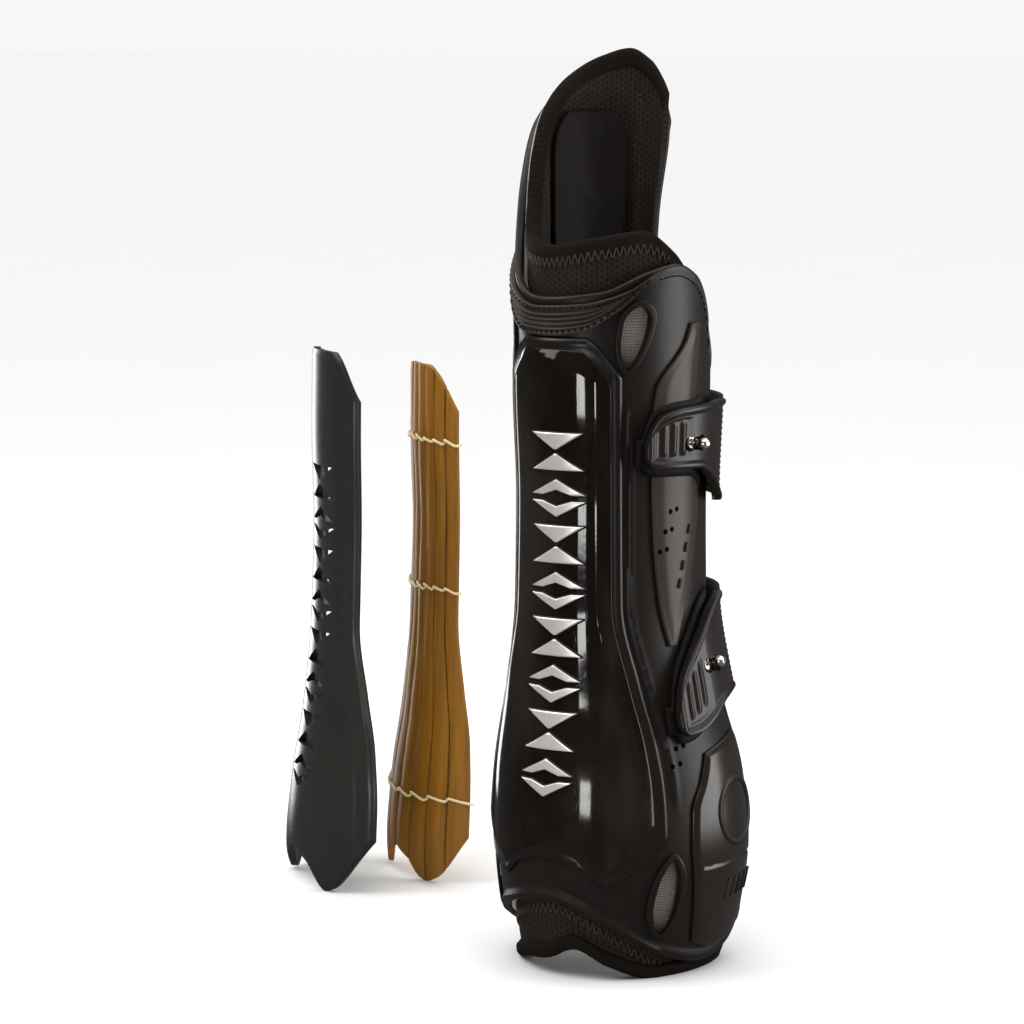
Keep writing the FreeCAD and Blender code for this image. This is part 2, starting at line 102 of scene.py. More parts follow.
# ---- shader graphs ------------------------------------------------------------------------------------
class Value:
    """A shader socket that takes part in Python arithmetic by adding Math nodes."""

    def __init__(self, graph: "Graph", socket: Any) -> None:
        """Wraps one output socket.

        Args:
            graph: The graph that the socket belongs to.
            socket: The output socket.
        """
        self.graph = graph
        self.socket = socket

    def _math(self, operation: str, first: Any, second: Any = None, third: Any = None) -> "Value":
        """Adds one Math node and returns its result."""
        return self.graph.node("ShaderNodeMath", {"operation": operation}, {0: first, 1: second, 2: third})

    def __add__(self, other: Any) -> "Value":
        """Sum."""
        return self._math("ADD", self, other)

    def __radd__(self, other: Any) -> "Value":
        """Sum, with the number first."""
        return self._math("ADD", other, self)

    def __sub__(self, other: Any) -> "Value":
        """Difference."""
        return self._math("SUBTRACT", self, other)

    def __rsub__(self, other: Any) -> "Value":
        """Difference, with the number first."""
        return self._math("SUBTRACT", other, self)

    def __mul__(self, other: Any) -> "Value":
        """Product."""
        return self._math("MULTIPLY", self, other)

    def __rmul__(self, other: Any) -> "Value":
        """Product, with the number first."""
        return self._math("MULTIPLY", other, self)

    def __truediv__(self, other: Any) -> "Value":
        """Quotient."""
        return self._math("DIVIDE", self, other)

    def __pow__(self, other: Any) -> "Value":
        """Power."""
        return self._math("POWER", self, other)

    def wave(self) -> "Value":
        """A smooth wave from 0 to 1 that repeats once for each whole number."""
        return self._math("SINE", self * (2 * math.pi)) * 0.5 + 0.5

    def between(self, low: float, high: float) -> "Value":
        """0 below low, 1 above high, and smooth between them.

        Args:
            low: Where the result leaves 0.
            high: Where it reaches 1.

        Returns:
            The stepped value.
        """
        settings = {"interpolation_type": "SMOOTHSTEP"}
        inputs = {"Value": self, "From Min": low, "From Max": high, "To Min": 0.0, "To Max": 1.0}
        return self.graph.node("ShaderNodeMapRange", settings, inputs)


class Graph:
    """The node tree of one material."""

    def __init__(self, name: str) -> None:
        """Starts an empty tree with a Principled shader.

        Args:
            name: The material's name.
        """
        self.material = bpy.data.materials.new(name)
        self.material.use_nodes = True
        self.tree = self.material.node_tree
        self.tree.nodes.clear()
        self.output = self.tree.nodes.new("ShaderNodeOutputMaterial")
        self.shader = self.tree.nodes.new("ShaderNodeBsdfPrincipled")
        self.tree.links.new(self.shader.outputs[0], self.output.inputs["Surface"])

    def node(self, kind: str, settings: dict[str, Any], inputs: dict[Any, Any], out: Any = 0) -> Value:
        """Adds one node.

        Args:
            kind: The node's type.
            settings: Its properties, and a ramp's stops under the key "stops".
            inputs: Values or links of its sockets, by name or number.
            out: The output socket wanted, by name or number.

        Returns:
            That output.
        """
        made = self.tree.nodes.new(kind)
        for key, setting in settings.items():
            if key == "stops":
                self._stops(made.color_ramp, setting)
            else:
                setattr(made, key, setting)
        for key, given in inputs.items():
            if given is None:
                continue
            if isinstance(given, Value):
                self.tree.links.new(given.socket, made.inputs[key])
            else:
                made.inputs[key].default_value = given
        return Value(self, made.outputs[out])

    @staticmethod
    def _stops(ramp: Any, stops: Sequence[tuple[float, Colour]]) -> None:
        """Sets a colour ramp's stops."""
        while len(ramp.elements) < len(stops):
            ramp.elements.new(0.5)
        for element, (place, colour) in zip(ramp.elements, stops):
            element.position = place
            element.color = (*colour, 1.0)

    def place(self) -> Value:
        """Object coordinates, in metres."""
        return self.node("ShaderNodeTexCoord", {}, {}, "Object")

    def cloth(self) -> Value:
        """The piece's own UV map, in metres along and up the cloth."""
        return self.node("ShaderNodeUVMap", {"uv_map": "cloth"}, {})

    def part(self, vector: Value, axis: str) -> Value:
        """One component, X, Y or Z, of a vector."""
        return self.node("ShaderNodeSeparateXYZ", {}, {0: vector}, axis)

    def stretch(self, vector: Value, scale: Colour) -> Value:
        """A vector scaled along each axis."""
        return self.node("ShaderNodeMapping", {}, {"Vector": vector, "Scale": scale})

    def noise(self, vector: Value, scale: float, detail: float = 4.0, rough: float = 0.55) -> Value:
        """Noise from about 0.3 to 0.7."""
        inputs = {"Vector": vector, "Scale": scale, "Detail": detail, "Roughness": rough}
        return self.node("ShaderNodeTexNoise", {}, inputs, "Fac")

    def cells(self, vector: Value, scale: float) -> Value:
        """Distance to the nearest of many scattered points."""
        return self.node("ShaderNodeTexVoronoi", {}, {"Vector": vector, "Scale": scale}, "Distance")

    def mixed(self, share: Value, first: Colour, second: Colour) -> Value:
        """A colour between two, by a share from 0 to 1."""
        return self.node("ShaderNodeMix", {"data_type": "RGBA"},
                         {0: share, 6: (*first, 1.0), 7: (*second, 1.0)}, 2)

    def ramp(self, share: Value, stops: Sequence[tuple[float, Colour]]) -> Value:
        """A colour from a ramp."""
        return self.node("ShaderNodeValToRGB", {"stops": stops}, {0: share})

    def bump(self, height: Value, strength: float, distance: float) -> Value:
        """A normal from a height."""
        return self.node("ShaderNodeBump", {}, {"Height": height, "Strength": strength, "Distance": distance})


def scaled(colour: Colour, by: float) -> Colour:
    """A colour made lighter or darker.

    Args:
        colour: The colour.
        by: The factor.

    Returns:
        The new colour.
    """
    return (colour[0] * by, colour[1] * by, colour[2] * by)


@dataclass(frozen=True)
class Finish:
    """A finish, with the constants of its shader; its detail comes from the kinds below."""

    name: str
    colour: Colour
    roughness: float
    metallic: float = 0.0
    coat: float = 0.0
    coat_roughness: float = 0.05
    sheen: float = 0.0
    specular: float = 0.5

    def material(self) -> bpy.types.Material:
        """The material, made once and then used again."""
        if self.name in bpy.data.materials:
            return bpy.data.materials[self.name]
        graph = Graph(self.name)
        inputs = graph.shader.inputs
        inputs["Metallic"].default_value = self.metallic
        inputs["Coat Weight"].default_value = self.coat
        inputs["Coat Roughness"].default_value = self.coat_roughness
        inputs["Sheen Weight"].default_value = self.sheen
        inputs["Sheen Roughness"].default_value = 0.45
        inputs["Specular IOR Level"].default_value = self.specular
        colour, roughness, normal = self.detail(graph)
        graph.tree.links.new(colour.socket, inputs["Base Color"])
        graph.tree.links.new(roughness.socket, inputs["Roughness"])
        graph.tree.links.new(normal.socket, inputs["Normal"])
        return graph.material

    def detail(self, graph: Graph) -> tuple[Value, Value, Value]:
        """Colour, roughness and normal over the surface.

        Args:
            graph: The material's graph.

        Returns:
            The three values.
        """
        raise NotImplementedError


@dataclass(frozen=True)
class Moulded(Finish):
    """Injection-moulded rubber or plastic: fine skin texture, faint flow marks and handling scuffs."""

    grain: float = 0.25
    grain_size: float = 1400.0
    flow: float = 0.12

    def detail(self, graph: Graph) -> tuple[Value, Value, Value]:
        """Colour, roughness and normal of the moulding."""
        place = graph.place()
        skin = graph.noise(place, self.grain_size, 3.0)
        flow = graph.noise(graph.stretch(place, (60.0, 60.0, 9.0)), 1.0, 5.0, 0.6)
        scuff = graph.noise(graph.stretch(place, (900.0, 900.0, 120.0)), 1.0, 2.0).between(0.60, 0.72)
        rub = scuff * graph.noise(place, 45.0, 2.0).between(0.5, 0.65)
        colour = graph.mixed((flow - 0.5) * 1.6 + 0.5, scaled(self.colour, 0.82), scaled(self.colour, 1.25))
        roughness = self.roughness + (flow - 0.5) * self.flow + rub * 0.10
        height = skin * self.grain + flow * 0.35 - rub * 0.15
        return colour, roughness, graph.bump(height, 0.35, 0.00022)


@dataclass(frozen=True)
class Polished(Finish):
    """High-gloss plate: nearly smooth, with orange peel, hairline scratches and a dusting of lint."""

    def detail(self, graph: Graph) -> tuple[Value, Value, Value]:
        """Colour, roughness and normal of the gloss."""
        place = graph.place()
        peel = graph.noise(place, 160.0, 2.0)
        hair = graph.noise(graph.stretch(place, (2600.0, 2600.0, 70.0)), 1.0, 1.0).between(0.66, 0.74)
        smear = graph.noise(graph.stretch(place, (30.0, 30.0, 12.0)), 1.0, 4.0).between(0.45, 0.7)
        dust = 1.0 - graph.cells(place, 900.0).between(0.04, 0.10)
        colour = graph.mixed(dust * 0.35 + smear * 0.12, self.colour, (0.10, 0.08, 0.065))
        roughness = self.roughness + hair * 0.06 + smear * 0.05 + dust * 0.2
        return colour, roughness, graph.bump(peel * 0.5 - hair * 0.12, 0.12, 0.0002)


@dataclass(frozen=True)
class Metal(Finish):
    """Plated metal with a fine brushed lay and small nicks."""

    lay: Colour = (900.0, 900.0, 180.0)

    def detail(self, graph: Graph) -> tuple[Value, Value, Value]:
        """Colour, roughness and normal of the plating."""
        place = graph.place()
        brushed = graph.noise(graph.stretch(place, self.lay), 1.0, 3.0)
        nick = graph.cells(place, 700.0).between(0.0, 0.12)
        tarnish = graph.noise(place, 120.0, 4.0).between(0.4, 0.7)
        colour = graph.mixed(tarnish * 0.5, self.colour, scaled(self.colour, 0.72))
        roughness = self.roughness + (brushed - 0.5) * 0.18 + tarnish * 0.08
        return colour, roughness, graph.bump(brushed * 0.5 + nick * 0.3, 0.2, 0.00012)


class Weave(Enum):
    """How a cloth is made."""

    JERSEY = "jersey"
    SPACER = "spacer"
    RIBBED = "ribbed"
    BRUSHED = "brushed"
    TWISTED = "twisted"


@dataclass(frozen=True)
class Cloth(Finish):
    """Cloth whose threads follow the piece's own map."""

    weave: Weave = Weave.JERSEY
    pitch: float = 0.9

    def detail(self, graph: Graph) -> tuple[Value, Value, Value]:
        """Colour, roughness and normal of the threads; the colour carries painted shade in the hollows and a
        painted highlight on the thread tops.
        """
        cloth = graph.cloth()
        along = graph.part(cloth, "X") * (1.0 / (self.pitch * MM))
        up = graph.part(cloth, "Y") * (1.0 / (self.pitch * MM))
        fuzz = graph.noise(graph.place(), 2600.0, 3.0)
        if self.weave is Weave.JERSEY:
            height = along.wave() * 0.6 + (up * 1.4 + along.wave() * 0.35).wave() * 0.4
        elif self.weave is Weave.SPACER:
            height = 1.0 - (along.wave() * (up + along * 0.5).wave()).between(0.38, 0.72)
        elif self.weave is Weave.RIBBED:
            height = up.wave() * 0.65 + (along * 1.6 + up * 0.5).wave() * 0.35
        elif self.weave is Weave.TWISTED:
            height = (along * 0.55 + up).wave()
        else:
            height = graph.noise(graph.stretch(cloth, (2400.0, 500.0, 1.0)), 1.0, 4.0)
        worn = graph.noise(graph.place(), 70.0, 4.0).between(0.35, 0.7)
        # colour follows the thread height: darker in the hollows between threads and in the mesh openings as
        # painted shade, lighter on the thread tops as painted highlight, plus random fuzz tone and lighter
        # worn patches
        share = height * 0.6 + fuzz * 0.5 + worn * 0.15
        colour = graph.mixed(share, scaled(self.colour, 0.35), scaled(self.colour, 1.45))
        roughness = self.roughness - height * 0.06
        return colour, roughness, graph.bump(height + fuzz * 0.45, 0.75, self.pitch * 0.28 * MM)


@dataclass(frozen=True)
class CutFoam(Finish):
    """Closed-cell foam with its cut edge showing."""

    def detail(self, graph: Graph) -> tuple[Value, Value, Value]:
        """Colour, roughness and normal of the cells."""
        place = graph.place()
        cells = graph.cells(place, 1500.0)
        stain = graph.noise(place, 60.0, 4.0).between(0.35, 0.7)
        colour = graph.mixed(cells * 0.5 + stain * 0.5, self.colour, scaled(self.colour, 0.55))
        roughness = self.roughness + cells * 0.05
        return colour, roughness, graph.bump(cells, 0.6, 0.0003)


@dataclass(frozen=True)
class BambooWood(Finish):
    """Split bamboo: long fibres, darker streaks and small pores, along the slat."""

    def detail(self, graph: Graph) -> tuple[Value, Value, Value]:
        """Colour, roughness and normal of the fibres."""
        place, cloth = graph.place(), graph.cloth()
        fibre = graph.noise(graph.stretch(cloth, (2600.0, 42.0, 1.0)), 1.0, 6.0, 0.62)
        band = graph.noise(graph.stretch(cloth, (260.0, 9.0, 1.0)), 1.0, 4.0, 0.6)
        pore = graph.noise(graph.stretch(cloth, (5200.0, 320.0, 1.0)), 1.0, 2.0).between(0.62, 0.72)
        handled = graph.noise(place, 26.0, 3.0).between(0.4, 0.65)
        share = fibre * 0.55 + band * 0.75 - 0.15
        dark, deep, light = scaled(self.colour, 0.42), self.colour, scaled(self.colour, 1.5)
        colour = graph.ramp(share - pore * 0.22 - handled * 0.04,
                            [(0.18, dark), (0.42, scaled(deep, 0.8)), (0.55, deep), (0.78, light)])
        roughness = self.roughness + fibre * 0.14 + pore * 0.1
        return colour, roughness, graph.bump(fibre * 0.7 - pore * 0.6, 0.45, 0.0002)


@dataclass(frozen=True)
class Studio(Finish):
    """Matt painted floor."""

    def detail(self, graph: Graph) -> tuple[Value, Value, Value]:
        """Colour, roughness and normal of the paint."""
        place = graph.place()
        mottle = graph.noise(place, 6.0, 3.0)
        colour = graph.mixed(mottle, scaled(self.colour, 0.99), self.colour)
        return colour, mottle * 0.05 + self.roughness, graph.bump(graph.noise(place, 300.0, 2.0), 0.04,
                                                                  0.0003)


SHELL = Moulded("shell_rubber", (0.0082, 0.0060, 0.0046), 0.38, grain=0.30, specular=0.24)
WING = Moulded("wing_gloss_rubber", (0.0120, 0.0094, 0.0078), 0.21, grain=0.06, specular=0.34, flow=0.05)
# the wing panel's pale colour is a painted reflection of a softbox on the glossy rubber, not the rubber's own
# tone
PANEL_PAINTED_REFLECTION = Moulded("wing_panel_painted_reflection", (0.0290, 0.0230, 0.0195), 0.30, grain=0.08, specular=0.18, flow=0.05)
BAND = Moulded("flex_band_rubber", (0.0190, 0.0145, 0.0120), 0.44, grain=0.35, specular=0.28)
TAB = Moulded("tab_moulding", (0.0110, 0.0086, 0.0074), 0.28, grain=0.10, specular=0.26, flow=0.05)
# near-black stud base under each tab; where it shows past the tab's free end and edges its dark colour is a
# painted shadow of the lifted tab
PAD = Moulded("stud_pad_and_painted_shadow", (0.0040, 0.0032, 0.0028), 0.60, grain=0.4, specular=0.15)
RING = Moulded("emblem_ring_matt", (0.0100, 0.0080, 0.0068), 0.45, grain=0.3, specular=0.25)
CORE = Moulded("core_moulding", (0.0165, 0.0172, 0.0148), 0.27, grain=0.15, specular=0.36)
GLOSS = Polished("plate_gloss", (0.0034, 0.0024, 0.0018), 0.05, specular=0.24)
BORDER = Moulded("plate_border_rubber", (0.0075, 0.0056, 0.0044), 0.28, grain=0.12, specular=0.26)
SILVER = Metal("silver_inlay_plating", (0.90, 0.85, 0.84), 0.34, metallic=0.75)
STUD = Metal("stud_nickel", (0.80, 0.76, 0.71), 0.16, metallic=1.0, lay=(500.0, 500.0, 1800.0))
WIRE = Metal("vent_wire", (0.085, 0.074, 0.067), 0.34, metallic=0.8)
PADSKIN = Cloth("inner_pad_cloth", (0.0062, 0.0046, 0.0040), 0.65, specular=0.08, weave=Weave.BRUSHED,
                pitch=0.5)
SPACER = Cloth("collar_spacer_mesh", (0.0130, 0.0100, 0.0080), 0.82, specular=0.08, weave=Weave.SPACER,
               pitch=2.2)
BINDING = Cloth("edge_binding", (0.0078, 0.0058, 0.0046), 0.85, specular=0.06, weave=Weave.JERSEY, pitch=1.0)
ELASTIC = Cloth("strap_elastic", (0.0120, 0.0098, 0.0085), 0.75, specular=0.15, weave=Weave.RIBBED, pitch=1.3)
THREAD = Cloth("sewing_thread", (0.045, 0.036, 0.028), 0.65, specular=0.2, weave=Weave.TWISTED, pitch=0.5)
DARK_THREAD = Cloth("dark_thread", (0.0040, 0.0032, 0.0027), 0.7, specular=0.2, weave=Weave.TWISTED,
                    pitch=0.5)
LACE = Cloth("cotton_lacing", (0.78, 0.64, 0.36), 0.75, weave=Weave.TWISTED, pitch=0.9)
FOAM = CutFoam("shock_foam_cells", (0.46, 0.40, 0.37), 0.9)
BAMBOO = BambooWood("bamboo_fibre", (0.27, 0.112, 0.0055), 0.42, specular=0.3)
FLOOR = Studio("studio_floor", (0.86, 0.86, 0.86), 0.7)


# ---- shaping tools ------------------------------------------------------------------------------------
def select_only(*objects: bpy.types.Object) -> None:
    """Selects these objects and nothing else, with the first one active.

    Args:
        objects: The objects.
    """
    bpy.ops.object.select_all(action="DESELECT")
    for piece in objects:
        piece.select_set(True)
    bpy.context.view_layer.objects.active = objects[0]


def finished(piece: bpy.types.Object, kind: str, **settings: Any) -> None:
    """Adds a modifier to a piece and applies it.

    Args:
        piece: The piece.
        kind: The modifier's type.
        settings: Its properties.
    """
    select_only(piece)
    made = piece.modifiers.new(kind.lower(), kind)
    for key, setting in settings.items():
        setattr(made, key, setting)
    bpy.ops.object.modifier_apply(modifier=made.name)


def rounded(piece: bpy.types.Object, radius: float, segments: int = 3, sharper_than: float = 50.0) -> None:
    """Rounds a piece's sharp edges.

    Args:
        piece: The piece.
        radius: Radius in millimetres.
        segments: Facets across the rounding.
        sharper_than: The least angle between faces, in degrees, that is rounded.
    """
    finished(piece, "BEVEL", width=radius * MM, segments=segments, limit_method="ANGLE",
             angle_limit=math.radians(sharper_than), use_clamp_overlap=True, harden_normals=False)


def smoothed(piece: bpy.types.Object, angle: float = 38.0) -> None:
    """Shades a piece smooth except over sharp edges.

    Args:
        piece: The piece.
        angle: The angle in degrees from which an edge stays sharp.
    """
    select_only(piece)
    bpy.ops.object.shade_smooth_by_angle(angle=math.radians(angle))


def fresh_grid(name: str, columns: int, rows: int) -> tuple[bpy.types.Object, np.ndarray]:
    """A flat unit grid, ready to be wrapped on something.

    Args:
        name: Its name.
        columns: Its faces across.
        rows: Its faces up.

    Returns:
        The grid, and the X, Y and Z of its points from -0.5 to 0.5.
    """
    bpy.ops.object.select_all(action="DESELECT")
    bpy.ops.mesh.primitive_grid_add(x_subdivisions=columns, y_subdivisions=rows, size=1)
    piece = bpy.context.view_layer.objects.active
    piece.name = piece.data.name = name
    return piece, coordinates(piece)


def coordinates(piece: bpy.types.Object) -> np.ndarray:
    """One row of X, Y and Z for each of a piece's points.

    Args:
        piece: The piece.

    Returns:
        The rows.
    """
    return np.array([v.co for v in piece.data.vertices])


def moved_to(piece: bpy.types.Object, points: np.ndarray) -> None:
    """Puts a piece's points in new places.

    Args:
        piece: The piece.
        points: One row of X, Y and Z for each point, in metres.
    """
    piece.data.vertices.foreach_set("co", points.ravel())
    piece.data.update()


def lay_map(piece: bpy.types.Object, places: np.ndarray) -> None:
    """Lays the piece's map, which is called cloth.

    Args:
        piece: The piece.
        places: U and V of each of its points, in metres.
    """
    layer = piece.data.uv_layers[0]
    layer.name = "cloth"
    corners = np.empty(len(piece.data.loops), int)
    piece.data.loops.foreach_get("vertex_index", corners)
    layer.data.foreach_set("uv", places[corners].ravel())


def carved(piece: bpy.types.Object, cutter: bpy.types.Object) -> None:
    """Cuts one piece out of another and throws the cutter away.

    Args:
        piece: The piece that stays.
        cutter: The piece that is taken away from it.
    """
    finished(piece, "BOOLEAN", operation="DIFFERENCE", object=cutter, solver="MANIFOLD")
    bpy.data.objects.remove(cutter, do_unlink=True)


def joined(name: str, parts: Sequence[bpy.types.Object]) -> bpy.types.Object:
    """Joins pieces into one.

    Args:
        name: The name of the result.
        parts: The pieces.

    Returns:
        The joined piece.
    """
    select_only(*parts)
    if len(parts) > 1:
        bpy.ops.object.join()
    made = bpy.context.view_layer.objects.active
    made.name = name
    made.data.name = name
    return made


def recalculated(piece: bpy.types.Object, merge: float = 0.0) -> None:
    """Merges doubles if asked and turns every face outwards.

    Args:
        piece: The piece.
        merge: Merge distance in millimetres, or 0.
    """
    select_only(piece)
    bpy.ops.object.mode_set(mode="EDIT")
    bpy.ops.mesh.select_all(action="SELECT")
    if merge:
        bpy.ops.mesh.remove_doubles(threshold=merge * MM)
    bpy.ops.mesh.normals_make_consistent(inside=False)
    bpy.ops.object.mode_set(mode="OBJECT")


def dressed(piece: bpy.types.Object, finish: Finish, body: Body,
            nodes: Iterable[str] = ()) -> None:
    """Gives a piece its finish and its place in the frame.

    Args:
        piece: The piece.
        finish: Its finish.
        body: The body that it moves with.
        nodes: The frame's nodes that it stands for.
    """
    piece.data.materials.clear()
    piece.data.materials.append(finish.material())
    names = list(nodes)
    if names:
        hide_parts(*names)
    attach(piece, body.value)
    LOG.info("%s: %d faces, %s", piece.name, len(piece.data.polygons), finish.name)


def curve_through(knots: Knots, x: np.ndarray) -> np.ndarray:
    """Values of a smooth curve through a few points, with no overshoot between them.

    Args:
        knots: The points, by rising x.
        x: Where the curve is wanted.

    Returns:
        Its values.
    """
    kx, ky = np.array(knots, float).T
    rise = np.diff(ky) / np.diff(kx)
    slope = np.concatenate([rise[:1], np.zeros(len(rise) - 1), rise[-1:]])
    before, after = rise[:-1], rise[1:]
    turning = before * after > 0
    slope[1:-1][turning] = (2 * before * after / np.where(turning, before + after, 1))[turning]
    i = np.clip(np.searchsorted(kx, x, side="right") - 1, 0, len(rise) - 1)
    span = kx[i + 1] - kx[i]
    t = np.clip((x - kx[i]) / span, 0, 1)
    return (ky[i] * (1 + 2 * t) * (1 - t) ** 2 + ky[i + 1] * t * t * (3 - 2 * t)
            + span * (slope[i] * t * (1 - t) ** 2 - slope[i + 1] * t * t * (1 - t)))


def along_edge(edge: Edge, x: np.ndarray) -> np.ndarray:
    """An edge's values, whether it is steady or a curve.

    Args:
        edge: The edge.
        x: Where it is wanted.

    Returns:
        Its values.
    """
    return curve_through(edge, x) if isinstance(edge, tuple) else np.full_like(x, float(edge))


def height_on(edge: Edge, at: float) -> float:
    """One value of an edge.

    Args:
        edge: A constant or a table.
        at: Where the value is wanted.

    Returns:
        The value.
    """
    return float(along_edge(edge, np.array([at]))[0])


def lifted(edge: Knots, rise: float) -> Knots:
    """An edge with its heights moved up.

    Args:
        edge: The edge.
        rise: Millimetres up.

    Returns:
        The new edge.
    """
    return tuple((x, y + rise) for x, y in edge)


def bead(distance: np.ndarray, middle: float, width: float) -> np.ndarray:
    """A rounded ridge across a distance.

    Args:
        distance: Distances in millimetres.
        middle: Where the ridge stands.
        width: Its half width.

    Returns:
        Its height, from 0 to 1.
    """
    return np.exp(-(((distance - middle) / width) ** 2))


def ramped(value: np.ndarray, low: float, high: float) -> np.ndarray:
    """0 below low, 1 above high and smooth between them.

    Args:
        value: The values.
        low: Where the result leaves 0.
        high: Where it reaches 1.

    Returns:
        The stepped values.
    """
    t = np.clip((value - low) / (high - low), 0, 1)
    return t * t * (3 - 2 * t)


@dataclass(frozen=True)
class Leg:
    """The surface that every wall of the boot follows."""

    stations: tuple[tuple[float, float, float, float, float], ...] = (
        (0.0, 37.5, 43.5, 2.0, 3.0),
        (20.0, 40.5, 47.5, 2.5, 3.0),
        (45.0, 43.0, 50.0, 3.0, 3.0),
        (70.0, 41.5, 47.5, 2.5, 2.5),
        (100.0, 36.0, 41.5, 1.0, 1.0),
        (135.0, 31.8, 37.8, 0.0, 0.0),
        (170.0, 31.4, 37.4, 0.0, 0.0),
        (210.0, 32.5, 39.0, 0.0, 0.0),
        (250.0, 32.5, 39.5, 0.0, 0.0),
        (335.0, 35.0, 46.0, 0.0, 0.0),
    )
    middle: tuple[float, float] = (-66.47, 15.78)

    def section(self, height: np.ndarray) -> list[np.ndarray]:
        """Half width, half depth and centre at each height."""
        return [curve_through(tuple((s[0], s[k]) for s in self.stations), height) for k in range(1, 5)]

    def point(self, angle: Any, height: Any, offset: Any) -> np.ndarray:
        """Points of the leg surface, in metres in the frame.

        Args:
            angle: Angles round the leg in degrees.
            height: Heights in millimetres.
            offset: Offsets outwards in millimetres.

        Returns:
            One row of X, Y and Z for each point.
        """
        angle, height, offset = (np.atleast_1d(np.asarray(v, float)) for v in (angle, height, offset))
        angle, height, offset = np.broadcast_arrays(angle, height, offset)
        half_x, half_y, centre_x, centre_y = self.section(height)
        turn = np.radians(angle)
        x = centre_x + (half_x + offset) * np.sin(turn) - self.middle[0]
        y = centre_y - (half_y + offset) * np.cos(turn) - self.middle[1]
        return np.stack([x, y, height], 1) * MM

    def outward(self, angle: float, height: float) -> Vector:
        """Unit vector square to the leg surface.

        Args:
            angle: Angle round the leg in degrees.
            height: Height in millimetres.

        Returns:
            The vector.
        """
        round_leg = Vector((self.point(angle + 0.5, height, 0) - self.point(angle - 0.5, height, 0))[0])
        up_leg = Vector((self.point(angle, height + 0.5, 0) - self.point(angle, height - 0.5, 0))[0])
        return round_leg.cross(up_leg).normalized()

    def angle_at(self, x: np.ndarray, height: np.ndarray, offset: float) -> np.ndarray:
        """Angles at which the back of the leg has a given X.

        Args:
            x: X from the leg's own axis in millimetres.
            height: Heights in millimetres.
            offset: Offset outwards in millimetres.

        Returns:
            The angles in degrees.
        """
        half_x, _, centre_x, _ = self.section(height)
        return np.degrees(np.arcsin(np.clip((x - centre_x) / (half_x + offset), -1, 1)))


LEG = Leg()


@dataclass(frozen=True)
class Spot:
    """Where the points of a wall's face lie: shares, angles, heights and distances to the edges."""

    u: np.ndarray
    v: np.ndarray
    angle: np.ndarray
    height: np.ndarray
    left: np.ndarray
    right: np.ndarray
    below: np.ndarray
    above: np.ndarray

    @property
    def edge(self) -> np.ndarray:
        """Distance in millimetres to the nearest edge."""
        return np.minimum(np.minimum(self.left, self.right), np.minimum(self.below, self.above))


@dataclass
class Wall:
    """A wall that follows the leg between four edges and two offsets, grown from a flat grid."""

    name: str
    first: Edge
    last: Edge
    bottom: Edge
    top: Edge
    inner: float
    outer: float
    columns: int = 64
    rows: int = 32
    relief: Relief | None = None
    inner_relief: Relief | None = None
    rim: float = 0.5
    sharp: float = 42.0
    leg: Leg = LEG
    cutters: list[bpy.types.Object] = field(default_factory=list)

    def spots(self, flat: np.ndarray) -> Spot:
        """Where the grid's points go.

        Args:
            flat: X and Y of each point on the flat grid, from -0.5 to 0.5.

        Returns:
            Their places on the leg.
        """
        u, v = flat[:, 0] + 0.5, flat[:, 1] + 0.5
        height = np.full_like(u, 100.0)
        for _ in range(12):
            low, high = along_edge(self.first, height), along_edge(self.last, height)
            angle = low + (high - low) * u
            foot, head = along_edge(self.bottom, angle), along_edge(self.top, angle)
            height = foot + (head - foot) * v
        half_x, half_y, _, _ = self.leg.section(height)
        reach = np.radians(1.0) * np.hypot(half_x * np.cos(np.radians(angle)),
                                           half_y * np.sin(np.radians(angle)))
        return Spot(u, v, angle, height, (angle - low) * reach, (high - angle) * reach,
                    height - foot, head - height)

    def build(self) -> bpy.types.Object:
        """Grows the wall.

        Returns:
            The finished piece, with a map named cloth.
        """
        piece, flat = fresh_grid(self.name, self.columns, self.rows)
        spot = self.spots(self._crowded(flat))
        self.map_cloth(piece, spot)
        drop = self._rounding(spot)
        outer = self.outer - drop + (self.relief(spot) if self.relief else 0.0)
        inner = self.inner + drop + (self.inner_relief(spot) if self.inner_relief else 0.0)
        finished(piece, "SOLIDIFY", thickness=0.001, offset=-1.0, use_rim=True)
        points = np.concatenate([self.leg.point(spot.angle, spot.height, outer),
                                 self.leg.point(spot.angle, spot.height, inner)])
        points[:, 2] = np.maximum(points[:, 2], 0.0)
        moved_to(piece, points)
        for cutter in self.cutters:
            carved(piece, cutter)
        smoothed(piece, self.sharp)
        return piece

    def _crowded(self, flat: np.ndarray) -> np.ndarray:
        """The flat grid with its outermost lines drawn close to the edges, where the wall is rounded."""
        if not self.rim:
            return flat
        middle = self.spots(np.zeros((1, 3)))
        spans = ((middle.left + middle.right)[0], (middle.below + middle.above)[0])
        moved = flat.copy()
        for axis, (count, span) in enumerate(zip((self.columns, self.rows), spans)):
            if count < FINE_GRID:
                continue
            reach = min(self.rim / span, 0.3)
            near = np.array(RIM_LINES) * reach
            between = np.linspace(reach, 1 - reach, count + 1 - 2 * len(near))
            lines = np.concatenate([near, between, 1 - near[::-1]])
            moved[:, axis] = lines[np.rint((flat[:, axis] + 0.5) * count).astype(int)] - 0.5
        return moved

    def _rounding(self, spot: Spot) -> np.ndarray:
        """How far each face bends towards the other near the wall's edges."""
        if not self.rim:
            return np.zeros_like(spot.u)
        radius = min(self.rim, (self.outer - self.inner) * MOST_ROUNDING)
        near = np.clip(1 - np.maximum(spot.edge, 0.0) / self.rim, 0, 1)
        return radius * (1 - np.sqrt(1 - near ** 2))

    @staticmethod
    def map_cloth(piece: bpy.types.Object, spot: Spot) -> None:
        """Lays the wall's map, round the leg at its mean radius and up it."""
        lay_map(piece, np.stack([np.radians(spot.angle) * MEAN_RADIUS, spot.height], 1) * MM)


